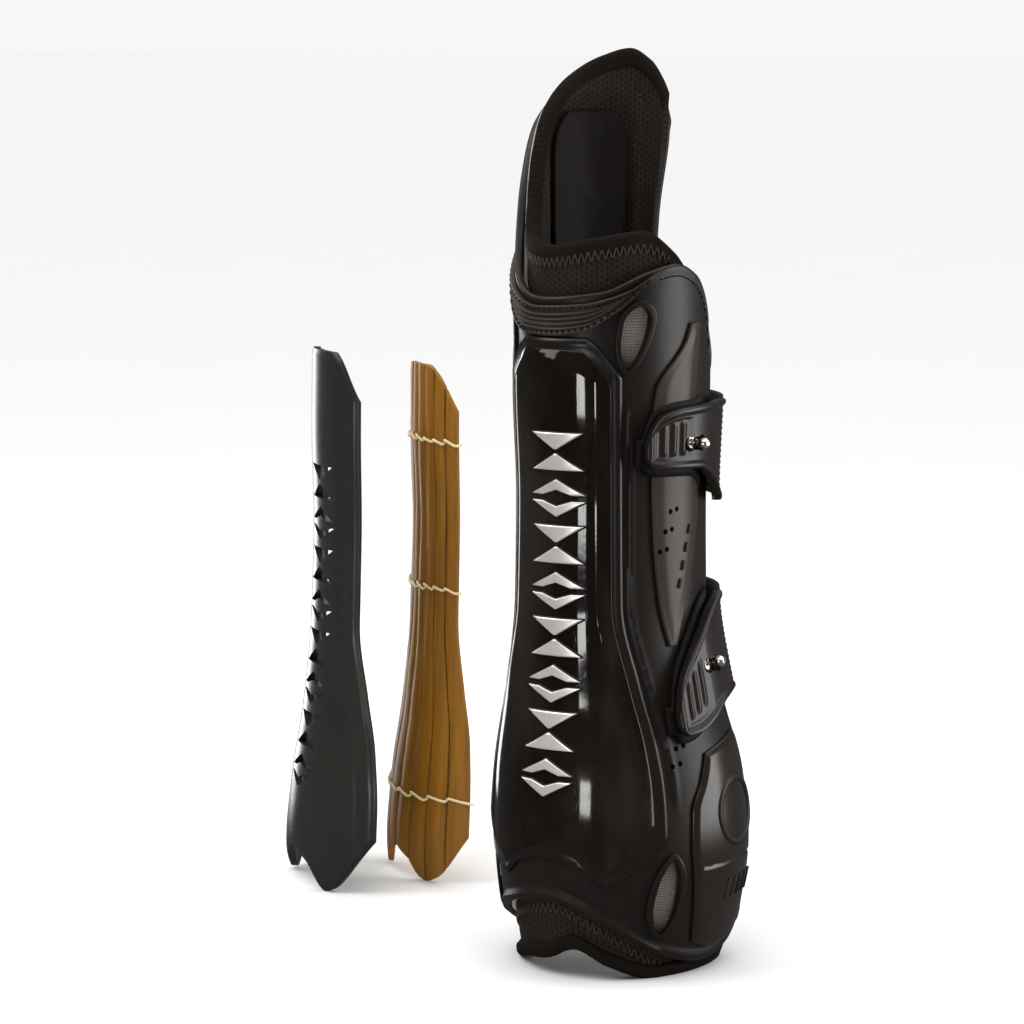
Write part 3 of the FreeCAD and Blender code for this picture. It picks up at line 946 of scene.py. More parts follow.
def leaf_edges(middle: float, half_angle: float, low: float, high: float, lean: float, belly: float = 0.5,
               point: float = 0.5) -> tuple[Knots, Knots]:
    """The two side edges of a leaf-shaped patch.

    Args:
        middle: Angle of its middle.
        half_angle: Half its width in degrees.
        low: Its lowest height.
        high: Its highest height.
        lean: Degrees that it leans for each millimetre up.
        belly: How far up it is widest, as a share of its height.
        point: 0.5 for round ends, about 1 for pointed ones.

    Returns:
        Its first and last edges.
    """
    centre, widest = (low + high) / 2, low + (high - low) * belly
    steps = [low + (high - low) * k / 12 for k in range(13)]
    shares = [min(1.0, (z - widest) / ((high if z > widest else low) - widest)) for z in steps]
    spread = [0.12 + 0.88 * max(0.0, 1 - t ** 2.4) ** point for t in shares]
    first = tuple((z, middle + lean * (z - centre) - half_angle * s) for z, s in zip(steps, spread))
    last = tuple((z, middle + lean * (z - centre) + half_angle * s) for z, s in zip(steps, spread))
    return first, last


def pin(place: Vector, axis: Vector, radius: float, length: float, sides: int = 24) -> bpy.types.Object:
    """A round pin, centred on a point.

    Args:
        place: Its middle in metres.
        axis: Its direction.
        radius: Its radius in millimetres.
        length: Its length in millimetres.
        sides: Its number of sides.

    Returns:
        The pin, with its place in its mesh.
    """
    bpy.ops.object.select_all(action="DESELECT")
    turn = axis.to_track_quat("Z", "Y").to_euler()
    bpy.ops.mesh.primitive_cylinder_add(vertices=sides, radius=radius * MM, depth=length * MM, location=place,
                                        rotation=turn)
    made = bpy.context.view_layer.objects.active
    bpy.ops.object.transform_apply(location=True, rotation=True, scale=True)
    return made


@dataclass(frozen=True)
class Seam:
    """A row of stitches, each one modelled stitch laid between two points."""

    name: str
    ends: tuple[tuple[np.ndarray, np.ndarray], ...]
    thickness: float = 0.42

    def build(self) -> bpy.types.Object:
        """Copies one stitch along the seam.

        Returns:
            The row as one piece.
        """
        bpy.ops.object.select_all(action="DESELECT")
        bpy.ops.mesh.primitive_uv_sphere_add(segments=6, ring_count=5, radius=1.0)
        stitch = bpy.context.view_layer.objects.active
        shape = coordinates(stitch)
        faces = [tuple(p.vertices) for p in stitch.data.polygons]
        points, all_faces = [], []
        for k, (start, end) in enumerate(self.ends):
            start, end = Vector(start), Vector(end)
            turn = np.array((end - start).to_track_quat("Z", "Y").to_matrix())
            size = np.array([self.thickness * MM, self.thickness * MM, (end - start).length / 2])
            points.append((shape * size) @ turn.T + np.array((start + end) / 2))
            all_faces += [tuple(i + k * len(shape) for i in f) for f in faces]
        mesh = bpy.data.meshes.new(self.name)
        mesh.from_pydata(np.concatenate(points).tolist(), [], all_faces)
        bpy.data.objects.remove(stitch, do_unlink=True)
        piece = bpy.data.objects.new(self.name, mesh)
        bpy.context.scene.collection.objects.link(piece)
        layer = mesh.uv_layers.new(name="cloth")
        turns = np.tile(np.array([[0.0, 0.0]]), (len(mesh.loops), 1))
        for polygon in mesh.polygons:
            for corner in polygon.loop_indices:
                vertex = mesh.loops[corner].vertex_index % len(shape)
                turns[corner] = (shape[vertex][0] * 0.4 * MM, shape[vertex][2] * 1.2 * MM)
        layer.data.foreach_set("uv", turns.ravel())
        smoothed(piece, 80.0)
        return piece


def running_stitch(path: Callable[[float], tuple[float, float, float]], length: float, pitch: float,
                   share: float = 0.62) -> tuple[tuple[np.ndarray, np.ndarray], ...]:
    """Stitches end to end along a path on the leg.

    Args:
        path: Angle, height and offset at a share of the path.
        length: The path's length in millimetres.
        pitch: Millimetres from stitch to stitch.
        share: How much of the pitch the thread shows.

    Returns:
        The two ends of each stitch.
    """
    count = max(2, int(length / pitch))
    ends = []
    for k in range(count):
        start, end = (k + 0.5 - share / 2) / count, (k + 0.5 + share / 2) / count
        ends.append((LEG.point(*path(start))[0], LEG.point(*path(end))[0]))
    return tuple(ends)


def zigzag_stitch(path: Callable[[float], tuple[float, float, float]], length: float, pitch: float,
                  swing: float) -> tuple[tuple[np.ndarray, np.ndarray], ...]:
    """Stitches that run up and down across a path on the leg.

    Args:
        path: Angle, height and offset at a share of the path.
        length: The path's length in millimetres.
        pitch: Millimetres from one low point to the next.
        swing: Half the zigzag's height in millimetres.

    Returns:
        The two ends of each stitch.
    """
    count = max(2, int(2 * length / pitch))
    corners = []
    for k in range(count + 1):
        angle, height, offset = path(k / count)
        corners.append(LEG.point(angle, height + (swing if k % 2 else -swing), offset)[0])
    return tuple(zip(corners, corners[1:]))


# ---- the boot's outlines, shared by its pieces ----------------------------------------------------------
INNER_FRONT = -168.0
OUTER_FRONT = 121.0
LOBE_FRONT: Knots = ((0, -168), (240, -168), (268, -169.5), (296, -174), (330, -175.5))
SHELL_TOP: Knots = ((-175, 301), (-168, 312), (-160, 318.5), (-148, 322), (-130, 320), (-107, 313),
                    (-88, 302), (-72, 282),
                    (-58, 262), (-45, 250), (-10, 243), (30, 245), (60, 252), (78, 254), (95, 250),
                    (110, 238), (121, 216))
SHELL_BOTTOM: Knots = ((-168, 24), (-150, 12), (-120, 6), (-85, 7), (-60, 15), (-30, 25), (0, 30), (30, 21),
                       (60, 8), (85, 4), (110, 8), (121, 16))
LINING_TOP: Knots = ((-177.5, 308), (-171, 315), (-162, 321.5), (-148, 325.7), (-130, 323), (-107, 315.7),
                     (-88, 304.8),
                     (-72, 287.5), (-58, 269), (-40, 260.5), (-10, 258), (30, 261), (60, 263), (80, 257),
                     (100, 246), (123, 221))
LINING_BOTTOM: Knots = ((-170, 17), (-156, 4), (-140, -1), (-60, -1), (-30, 4), (-8, 6), (12, 11), (30, 5),
                        (58, -1), (110, -1), (123, 7))
PLATE_WIDTH: Knots = ((30, 51), (60, 51), (86, 49.5), (107, 44.5), (135, 37.5), (230, 36.5))
PLATE_TOP: Knots = ((-40, 209), (-36.5, 212), (-22, 224), (-19, 225), (19, 225), (22, 224), (36.5, 212),
                    (40, 209))
PLATE_BOTTOM: Knots = ((-52, 58), (-51, 57), (-28, 40.6), (-26, 40), (-14, 47), (0, 50), (14, 47), (26, 40),
                       (28, 40.6), (51, 57), (52, 58))
AIR_HOLES = ((73, 167.0), (69.5, 160.0), (66, 153.0), (66, 83.5), (62.5, 77.5))


def air_hole_cutter() -> bpy.types.Object:
    """Pins that cut the small air holes in the outer wing.

    Returns:
        The pins as one piece.
    """
    pins = []
    for angle, height in AIR_HOLES:
        for shift in (0.0, 4.5):
            middle = Vector(LEG.point(angle + shift, height + shift * 0.15, 0.0)[0])
            pins.append(pin(middle, LEG.outward(angle + shift, height), 1.0, 9.0, 16))
    return joined("air_holes", pins)


@dataclass
class Vent:
    """A leaf-shaped opening with a raised rim and a wire mesh behind it."""

    name: str
    middle: float
    half_angle: float
    low: float
    high: float
    lean: float
    belly: float
    point: float = 0.9
    rim_width: float = 2.0
    wire: float = 0.26
    wires_across: int = 12
    wire_pitch: float = 0.95
    overlap: float = 0.4

    def _wall(self, name: str, grow: float, inner: float, outer: float, rim: float) -> Wall:
        """A leaf-shaped wall, grown by some millimetres at its edge."""
        first, last = leaf_edges(self.middle, self.half_angle + grow * 1.6, self.low - grow, self.high + grow,
                                 self.lean, self.belly, self.point)
        return Wall(name, first, last, self.low - grow, self.high + grow, inner, outer, 20, 28, rim=rim)

    def cutter(self) -> bpy.types.Object:
        """The leaf that is cut out of the shell."""
        return self._wall(self.name + "_cutter", 0.0, -5.0, 4.0, 0.0).build()

    def build(self) -> None:
        """Builds the rim and the wire mesh."""
        rim = self._wall(self.name + "_rim", self.rim_width, 0.1, 1.3, 0.5)
        rim.cutters = [self.cutter()]
        ring = rim.build()
        dressed(ring, SHELL, Body.BOOT, [self.name + "_rim"])
        low, high = self.low - self.overlap, self.high + self.overlap
        first, last = leaf_edges(self.middle, self.half_angle + 0.5, low, high, self.lean,
                                 self.belly, self.point)
        rows = int((self.high - self.low) / self.wire_pitch)
        net = Wall(self.name + "_mesh", first, last, low, high, -1.5, -1.4, self.wires_across, rows,
                   rim=0.0)
        mesh, flat = fresh_grid(net.name, net.columns, net.rows)
        spot = net.spots(flat)
        net.map_cloth(mesh, spot)
        moved_to(mesh, LEG.point(spot.angle, spot.height, -1.3 + self._weave(spot)))
        finished(mesh, "WIREFRAME", thickness=self.wire * MM, use_replace=True, use_even_offset=False)
        recalculated(mesh)
        smoothed(mesh, 60.0)
        dressed(mesh, WIRE, Body.BOOT, [self.name + "_mesh"])

    @staticmethod
    def _weave(spot: Spot) -> np.ndarray:
        """Small ups and downs of woven wires."""
        return 0.12 * np.sin(spot.u * 31.0) * np.cos(spot.v * 47.0)


@dataclass
class Shell:
    """The moulded outer shell with its beads, side ridges, vents and air holes."""

    thickness: float = 2.4
    bead_height: float = 1.0
    ridge_gap: float = 10.5
    ridge_depth: float = 0.8
    vents: tuple[Vent, ...] = (
        Vent("vent_outer_upper", 50.0, 8.0, 218.0, 240.0, 0.35, 0.72),
        Vent("vent_inner_upper", -51.0, 8.0, 216.0, 238.0, -0.35, 0.72),
        Vent("vent_outer_lower", 58.0, 6.0, 17.5, 45.0, 0.16, 0.45),
        Vent("vent_inner_lower", -58.0, 6.0, 21.5, 46.0, -0.16, 0.45),
    )

    def _relief(self, spot: Spot) -> np.ndarray:
        """Beads along the edges, the ridges beside the plate and shallow press lines."""
        sides = np.minimum(spot.left, spot.right)
        rise = self.bead_height * bead(spot.below, 2.0, 1.5) - 0.4 * bead(spot.below, 5.0, 0.7)
        rise += 0.55 * bead(spot.above, 1.5, 1.1) - 0.3 * bead(spot.above, 4.2, 0.6)
        rise += 0.5 * bead(sides, 1.8, 1.2) - 0.25 * bead(sides, 4.4, 0.6)
        turn = np.abs(spot.angle)
        boundary = along_edge(PLATE_WIDTH, spot.height) + self.ridge_gap
        inside = 1 - ramped(turn, boundary - 0.9, boundary + 0.9)
        tall = ramped(spot.height, 58, 72) * (1 - ramped(spot.height, 198, 214))
        rise += tall * (0.35 * bead(turn, boundary + 1.6, 1.5) - self.ridge_depth * inside)
        return rise

    def build(self) -> None:
        """Builds the shell, its vents and its edge stitching."""
        wall = Wall("shell_skin", LOBE_FRONT, OUTER_FRONT, SHELL_BOTTOM, SHELL_TOP, -self.thickness, 0.0,
                    230, 160, relief=self._relief, rim=0.8)
        wall.cutters = [vent.cutter() for vent in self.vents] + [air_hole_cutter()]
        skin = wall.build()
        dressed(skin, SHELL, Body.BOOT, ["outer_shell"])
        for vent in self.vents:
            vent.build()
        row = Seam("shell_edge_stitches", running_stitch(self._edge_line, 52.0, 2.4), 0.3).build()
        dressed(row, DARK_THREAD, Body.BOOT)

    @staticmethod
    def _edge_line(t: float) -> tuple[float, float, float]:
        """A place a little below the shell's top edge on the outer wing."""
        return 66 + 53 * t, height_on(SHELL_TOP, 66 + 53 * t) - 4.2, 0.05


@dataclass
class FlexBand:
    """The ribbed band above the plate that lets the collar flex, sewn along both its edges."""

    top: Knots = ((-78, 262), (-60, 253), (-45, 247), (-10, 240), (20, 241), (45, 245), (62, 251))
    bottom: Knots = ((-78, 257), (-60, 249), (-48, 242.5), (-38, 235.5), (-20, 230), (0, 229.5), (20, 231),
                     (40, 238), (50, 243.5), (62, 250))
    grooves: tuple[float, ...] = (0.30, 0.46, 0.62, 0.78)
    groove_depth: float = 0.75

    def _relief(self, spot: Spot) -> np.ndarray:
        """Grooves that run along the band and fade towards its ends."""
        fade = ramped(spot.left, 3.0, 14.0) * ramped(spot.right, 2.0, 12.0)
        width = 0.5 / np.maximum(spot.below + spot.above, 2.0)
        rise = np.zeros_like(spot.u)
        for place in self.grooves:
            rise -= self.groove_depth * bead(spot.v, place, width) * fade
            rise += 0.22 * bead(spot.v, place + 0.055, width * 1.3) * fade
        rise -= 0.4 * bead(spot.below, 1.6, 0.5) + 0.4 * bead(spot.above, 1.4, 0.5)
        return rise

    def _line(self, edge: Knots, shift: float, t: float) -> tuple[float, float, float]:
        """A place along one edge of the band."""
        angle = -74 + 133 * t
        return angle, height_on(edge, angle) + shift, 2.15

    def build(self) -> None:
        """Builds the band and its two rows of stitches."""
        band = Wall("flex_band_ribs", -78, 62, self.bottom, self.top, 0.1, 2.2, 150, 60, relief=self._relief,
                    rim=0.5).build()
        dressed(band, BAND, Body.BOOT, ["flex_band"])
        lower = running_stitch(lambda t: self._line(self.bottom, 1.5, t), 96.0, 2.6)
        upper = running_stitch(lambda t: self._line(self.top, -1.3, t), 92.0, 2.6)
        row = Seam("flex_band_stitches", lower + upper, 0.36).build()
        dressed(row, DARK_THREAD, Body.BOOT)


@dataclass
class Ribbon(Wall):
    """A wall between two drawn lines across the back of the leg, each a few points of X and height."""

    outline: tuple[tuple[tuple[float, float], ...], tuple[tuple[float, float], ...]] = ((), ())

    def spots(self, flat: np.ndarray) -> Spot:
        """Where the grid's points go, between the two lines."""
        u, v = flat[:, 0] + 0.5, flat[:, 1] + 0.5
        lines = []
        for line in self.outline:
            points = np.array(line, float)
            share = np.linspace(0, 1, len(points))
            lines.append((np.interp(u, share, points[:, 0]), np.interp(u, share, points[:, 1])))
        x = lines[0][0] * (1 - v) + lines[1][0] * v
        height = lines[0][1] * (1 - v) + lines[1][1] * v
        width = np.full_like(u, 5.0)
        return Spot(u, v, LEG.angle_at(x, height, self.outer), height, u * width, (1 - u) * width, v * width,
                    (1 - v) * width)


@dataclass(frozen=True)
class Motifs:
    """The row of plain geometric marks up the back of the leg."""

    pitch: float = 16.4
    count: int = 8
    foot: float = 68.0
    height: float = 13.2
    half_width: float = 10.4
    middle: float = 3.6
    stroke: float = 4.3

    def outlines(self) -> list[tuple[tuple[tuple[float, float], ...], tuple[tuple[float, float], ...]]]:
        """The two lines of each ribbon, open diamonds and bow ties by turns."""
        w, h, s = self.half_width, self.height, self.stroke
        found = []
        for k in range(self.count):
            level = self.foot + k * self.pitch + h / 2
            for side in (1, -1):
                if k % 2 == 0:
                    tip, split = level + side * h / 2, level + side * 1.1
                    outer = ((-w, split), (0.0, tip), (w, split))
                    inner = ((s * 1.1 - w, split), (0.0, tip - side * s * 0.85), (w - s * 1.1, split))
                else:
                    tip, far = level + side * 0.8, level + side * h / 2
                    outer = ((-w * 0.95, far), (0.0, far), (w * 0.95, far))
                    inner = ((-0.35, tip), (0.0, tip), (0.35, tip))
                shifted = [tuple((self.middle + x, z) for x, z in line) for line in (inner, outer)]
                found.append((shifted[0], shifted[1]))
        return found

    def ribbons(self, name: str, inner: float, outer: float, rim: float) -> bpy.types.Object:
        """All the marks as one piece between two offsets.

        Args:
            name: Its name.
            inner: Inner offset in millimetres.
            outer: Outer offset in millimetres.
            rim: Edge radius in millimetres.

        Returns:
            The piece.
        """
        parts = []
        for outline in self.outlines():
            mark = Ribbon(name, 0.0, 0.0, 0.0, 0.0, inner, outer, 26, 16, rim=rim, outline=outline).build()
            recalculated(mark)
            parts.append(mark)
        return joined(name, parts)


@dataclass
class TendonPlate:
    """The glossy strike plate with its chamfered edge, its raised border and the silver marks."""

    seat: float = 0.3
    face: float = 3.6
    border_width: float = 4.2
    border_face: float = 1.9
    chamfer: float = 4.6
    motifs: Motifs = Motifs()

    def _outline(self, grow: float) -> dict[str, Edge]:
        """The plate's four edges, grown by some millimetres."""
        spread = grow * 1.55
        widen = 1 + spread / 45.0
        return {
            "first": tuple((z, -angle - spread) for z, angle in PLATE_WIDTH),
            "last": tuple((z, angle + spread) for z, angle in PLATE_WIDTH),
            "bottom": tuple((x * widen, y - grow) for x, y in PLATE_BOTTOM),
            "top": tuple((x * widen, y + grow) for x, y in PLATE_TOP),
        }

    def _facets(self, spot: Spot) -> np.ndarray:
        """A chamfer round the edge and a shallow hollow inside it."""
        slope = np.maximum(0.0, 1 - spot.edge / self.chamfer)
        return -1.75 * slope - 0.22 * bead(spot.edge, self.chamfer + 0.9, 0.7)

    def _soft_border(self, spot: Spot) -> np.ndarray:
        """The border rises to a rounded crest."""
        return 0.45 * bead(spot.edge, 1.9, 1.2) - 0.5 * ramped(-spot.edge, -1.0, 0.0)

    def build(self) -> None:
        """Builds plate, border and marks."""
        border = Wall("plate_frame", **self._outline(self.border_width), inner=0.0,
                      outer=self.border_face - 0.3,
                      columns=120, rows=150, relief=self._soft_border, rim=0.4).build()
        dressed(border, BORDER, Body.BOOT, ["plate_border"])
        plate = Wall("strike_plate_gloss", **self._outline(0.0), inner=self.seat, outer=self.face,
                     columns=120, rows=170, relief=self._facets, rim=0.35).build()
        dressed(plate, GLOSS, Body.BOOT, ["strike_plate"])
        inlay = self.motifs.ribbons("silver_marks", self.face - 0.25, self.face + 1.15, 0.42)
        dressed(inlay, SILVER, Body.BOOT, ["silver_inlay"])
        seats = self.motifs.ribbons("silver_mark_seats", self.face - 0.3, self.face + 0.22, 0.15)
        self._spread(seats)
        dressed(seats, BORDER, Body.BOOT)

    def _spread(self, piece: bpy.types.Object) -> None:
        """Widens the seats a little beyond the marks, so that each mark sits in a moulded lip."""
        finished(piece, "DISPLACE", strength=0.00045, mid_level=0.0)


@dataclass
class Wings:
    """The raised panel, whose pale colour is a painted reflection, and the fetlock cup on the outer wing,
    with the plain ring and its grip bars.
    """

    panel_first: Knots = ((119, 71), (135, 66), (160, 62), (195, 60.5), (210, 63), (227, 84), (233, 88.5))
    panel_last: Knots = ((119, 76), (125, 80), (138, 88), (167, 98), (190, 96), (206, 92), (225, 95.5),
                         (233, 96.5))
    cup_first: Knots = ((8, 74), (30, 72), (48, 69.5), (61, 70.5), (70, 76), (84, 84))
    ring_angle: float = 99.0
    ring_height: float = 58.0
    ring_outer: float = 13.0
    ring_inner: float = 10.2

    def _cup(self, spot: Spot) -> np.ndarray:
        """A soft shoulder at the cup's edge and the groove that crosses it."""
        shoulder = -0.9 * (1 - ramped(spot.edge, 0.0, 2.4))
        return shoulder - 0.55 * bead(spot.height, 40.5, 0.55) * ramped(spot.left, 3.0, 5.0)

    def _ring(self) -> bpy.types.Object:
        """The plain raised ring on the cup."""
        bpy.ops.object.select_all(action="DESELECT")
        bpy.ops.mesh.primitive_torus_add(major_segments=72, minor_segments=12,
                                         major_radius=(self.ring_outer + self.ring_inner) / 2,
                                         minor_radius=(self.ring_outer - self.ring_inner) / 2)
        ring = bpy.context.view_layer.objects.active
        ring.name = ring.data.name = "cup_emblem_ring"
        self._lay(ring, coordinates(ring), self.ring_angle, self.ring_height, 0.55)
        return ring

    @staticmethod
    def _lay(piece: bpy.types.Object, shape: np.ndarray, angle: float, height: float, flat: float) -> None:
        """Lays a flat shape on the cup: its X goes round the leg, its Y up and its Z outwards."""
        half_x, half_y, _, _ = LEG.section(np.array([height]))
        turn = math.radians(angle)
        reach = math.radians(1.0) * math.hypot(half_x[0] * math.cos(turn), half_y[0] * math.sin(turn))
        points = LEG.point(angle + shape[:, 0] / reach, height + shape[:, 1], 2.0 + shape[:, 2] * flat)
        moved_to(piece, points)

    def _bars(self) -> bpy.types.Object:
        """Small slanted grip bars, below the cup's groove and on the wing."""
        parts = []
        places = [(92 + 5.2 * k, 30.0, 7.5, 0.9) for k in range(5)]
        places += [(79.5 + 2.6 * k, 141.0 + 6.3 * k, 3.4, 0.55) for k in range(4)]
        for angle, height, length, half_width in places:
            bpy.ops.object.select_all(action="DESELECT")
            bpy.ops.mesh.primitive_cube_add(size=1.0)
            bar = bpy.context.view_layer.objects.active
            shape = coordinates(bar) * np.array([half_width * 2, length, 1.2])
            shape[:, 0] += shape[:, 1] * 0.28
            self._lay(bar, shape, angle, height, 1.0)
            rounded(bar, 0.35, 2, 30.0)
            smoothed(bar)
            parts.append(bar)
        return joined("grip_bars", parts)

    def build(self) -> None:
        """Builds panel, cup, ring and bars."""
        # raised panel whose pale finish is a painted reflection
        panel = Wall("wing_panel", self.panel_first, self.panel_last, 119.0, 233.0, 0.1, 1.45, 40, 120,
                     rim=0.5, relief=lambda spot: 0.3 * ramped(spot.edge, 0.5, 5.0))
        panel.cutters = [air_hole_cutter()]
        dressed(panel.build(), PANEL_PAINTED_REFLECTION, Body.BOOT, ["outer_wing_panel"])
        cup = Wall("fetlock_cup_gloss", self.cup_first, 114.0, ((68, 14), (90, 8.5), (114, 14)),
                   ((68, 78), (92, 82), (114, 85)), 0.1, 2.1, 90, 120, relief=self._cup, rim=0.6)
        dressed(cup.build(), WING, Body.BOOT, ["fetlock_cup"])
        ring = self._ring()
        smoothed(ring, 60)
        dressed(ring, RING, Body.BOOT, ["cup_ring"])
        dressed(self._bars(), RING, Body.BOOT)


@dataclass
class SoftLayers:
    """Lining with its rolled collar and hem, and the padded panel inside the tall inner lobe."""

    inner: float = -8.0
    outer: float = -4.6
    pad_swell: float = 4.0
    pad_cap: float = 1.3
    pad_frames: int = 14
    pad_angle: float = -117.0
    pad_lean: float = 0.08
    pad_middle: float = 276.5
    pad_half_height: float = 29.5
    overhang: float = 2.0

    def _quilt(self, spot: Spot) -> np.ndarray:
        """The inner face swells between its seams and dips round the padded panel."""
        half = np.abs(spot.angle - self.pad_angle + self.pad_lean * (spot.height - self.pad_middle)) / 34.0
        tall = np.abs(spot.height - self.pad_middle) / 32.5
        ring = (half ** 4 + tall ** 4) ** 0.25
        dip = 1.3 * (1 - ramped(ring, 0.94, 1.05)) - 0.9 * bead(ring, 1.16, 0.10)
        waves = np.sin(spot.height * 0.42 + 1.7 * np.sin(spot.angle * 0.05))
        return dip + 0.14 * waves * np.sin(spot.angle * 0.16)

    def _puff(self, spot: Spot) -> np.ndarray:
        """The outer face is soft where it shows above and below the shell."""
        soft = ramped(spot.above, 0.0, 5.0)
        return 0.35 * soft + 0.16 * np.sin(spot.angle * 0.31) * np.sin(spot.height * 0.5)

    def _pad(self) -> bpy.types.Object:
        """The panel in the lobe, blown up a little as cloth and held to its cap."""
        middle, tall = self.pad_middle, self.pad_half_height
        low, high = middle - tall, middle + tall
        steps = [low + 2 * tall * k / 12 for k in range(13)]
        spread = [30.0 * (1 - (abs(z - middle) / tall) ** 5 * 0.45) for z in steps]
        wide = tuple((z, self.pad_angle - self.pad_lean * (z - middle) - s) for z, s in zip(steps, spread))
        far = tuple((z, self.pad_angle - self.pad_lean * (z - middle) + s) for z, s in zip(steps, spread))
        pad = Wall("lobe_pad", wide, far, low, high, self.inner - 1.0, self.inner + 0.5, 34, 48,
                   rim=0.5).build()
        before = coordinates(pad)
        select_only(pad)
        cloth = pad.modifiers.new("pad_cloth", "CLOTH")
        cloth.settings.quality = 5
        cloth.settings.use_pressure = True
        cloth.settings.uniform_pressure_force = self.pad_swell
        cloth.settings.effector_weights.gravity = 0.0
        cloth.point_cache.frame_start, cloth.point_cache.frame_end = 1, self.pad_frames
        for frame in range(1, self.pad_frames + 1):
            bpy.context.scene.frame_set(frame)
        bpy.ops.object.modifier_apply(modifier=cloth.name)
        moved = coordinates(pad) - before
        reach = np.linalg.norm(moved, axis=1, keepdims=True)
        moved *= np.minimum(1.0, self.pad_cap * MM / np.maximum(reach, 1e-9))
        moved_to(pad, before + moved)
        bpy.context.scene.frame_set(1)
        finished(pad, "SUBSURF", levels=1, render_levels=1)
        smoothed(pad, 60.0)
        return pad

    def _roll(self, name: str, edge: Knots, low: float, high: float, rim: float,
              bulge: float) -> bpy.types.Object:
        """A rolled edge that follows the lining's top or bottom."""
        def soft(spot: Spot) -> np.ndarray:
            """Uneven swells along the roll."""
            return 0.10 * np.sin(spot.angle * 0.83 + np.sin(spot.angle * 0.21)) * bead(spot.v, 0.5, 0.4)

        first, last = lifted(LOBE_FRONT, -self.overhang), OUTER_FRONT + self.overhang
        return Wall(name, first, last, lifted(edge, low), lifted(edge, high), self.inner - 0.9,
                    self.outer + bulge, 220, 20, relief=soft, inner_relief=soft, rim=rim, sharp=70.0).build()

    def _stitch_rows(self) -> bpy.types.Object:
        """Zigzag stitching on the collar, the hem and beside the padded panel."""
        def collar(t: float) -> tuple[float, float, float]:
            """A place on the collar's seam."""
            angle = -66 + 168 * t
            return angle, height_on(LINING_TOP, angle) - 3.4, self.outer + 1.0

        def hem(t: float) -> tuple[float, float, float]:
            """A place on the hem's seam."""
            angle = -66 + 132 * t
            return angle, height_on(SHELL_BOTTOM, angle) - 4.2, self.outer + 0.75

        def lobe(t: float) -> tuple[float, float, float]:
            """A place on the seam beside the padded panel."""
            return -155.5, 246 + 66 * t, self.inner - 0.25

        ends = zigzag_stitch(collar, 108.0, 2.9, 1.9) + zigzag_stitch(hem, 88.0, 2.5, 2.0)
        ends += tuple(self._sideways(lobe, 60.0, 2.6, 2.6))
        return Seam("lining_zigzag", ends, 0.26).build()

    @staticmethod
    def _sideways(path: Callable[[float], tuple[float, float, float]], length: float, pitch: float,
                  swing: float) -> list[tuple[np.ndarray, np.ndarray]]:
        """A zigzag up the leg that swings round it."""
        count = int(2 * length / pitch)
        corners = []
        for k in range(count + 1):
            angle, height, offset = path(k / count)
            corners.append(LEG.point(angle + (swing if k % 2 else -swing), height, offset)[0])
        return list(zip(corners, corners[1:]))

    def build(self) -> None:
        """Builds the lining and everything sewn to it."""
        first, last = lifted(LOBE_FRONT, -self.overhang), OUTER_FRONT + self.overhang
        lining = Wall("padded_lining", first, last, lifted(LINING_BOTTOM, 3.0), lifted(LINING_TOP, -1.5),
                      self.inner, self.outer, 200, 130, relief=self._puff, inner_relief=self._quilt, rim=0.9)
        piece = lining.build()
        dressed(piece, SPACER, Body.BOOT, ["lining"])
        collar = self._roll("collar_roll", LINING_TOP, -4.6, 2.7, 2.3, 1.0)
        dressed(collar, BINDING, Body.BOOT, ["collar_binding"])
        hem = self._roll("hem_roll", LINING_BOTTOM, 0.0, 5.6, 2.1, 2.7)
        dressed(hem, BINDING, Body.BOOT, ["hem_binding"])
        pad = self._pad()
        dressed(pad, PADSKIN, Body.BOOT, ["inner_pad"])
        dressed(self._stitch_rows(), THREAD, Body.BOOT)


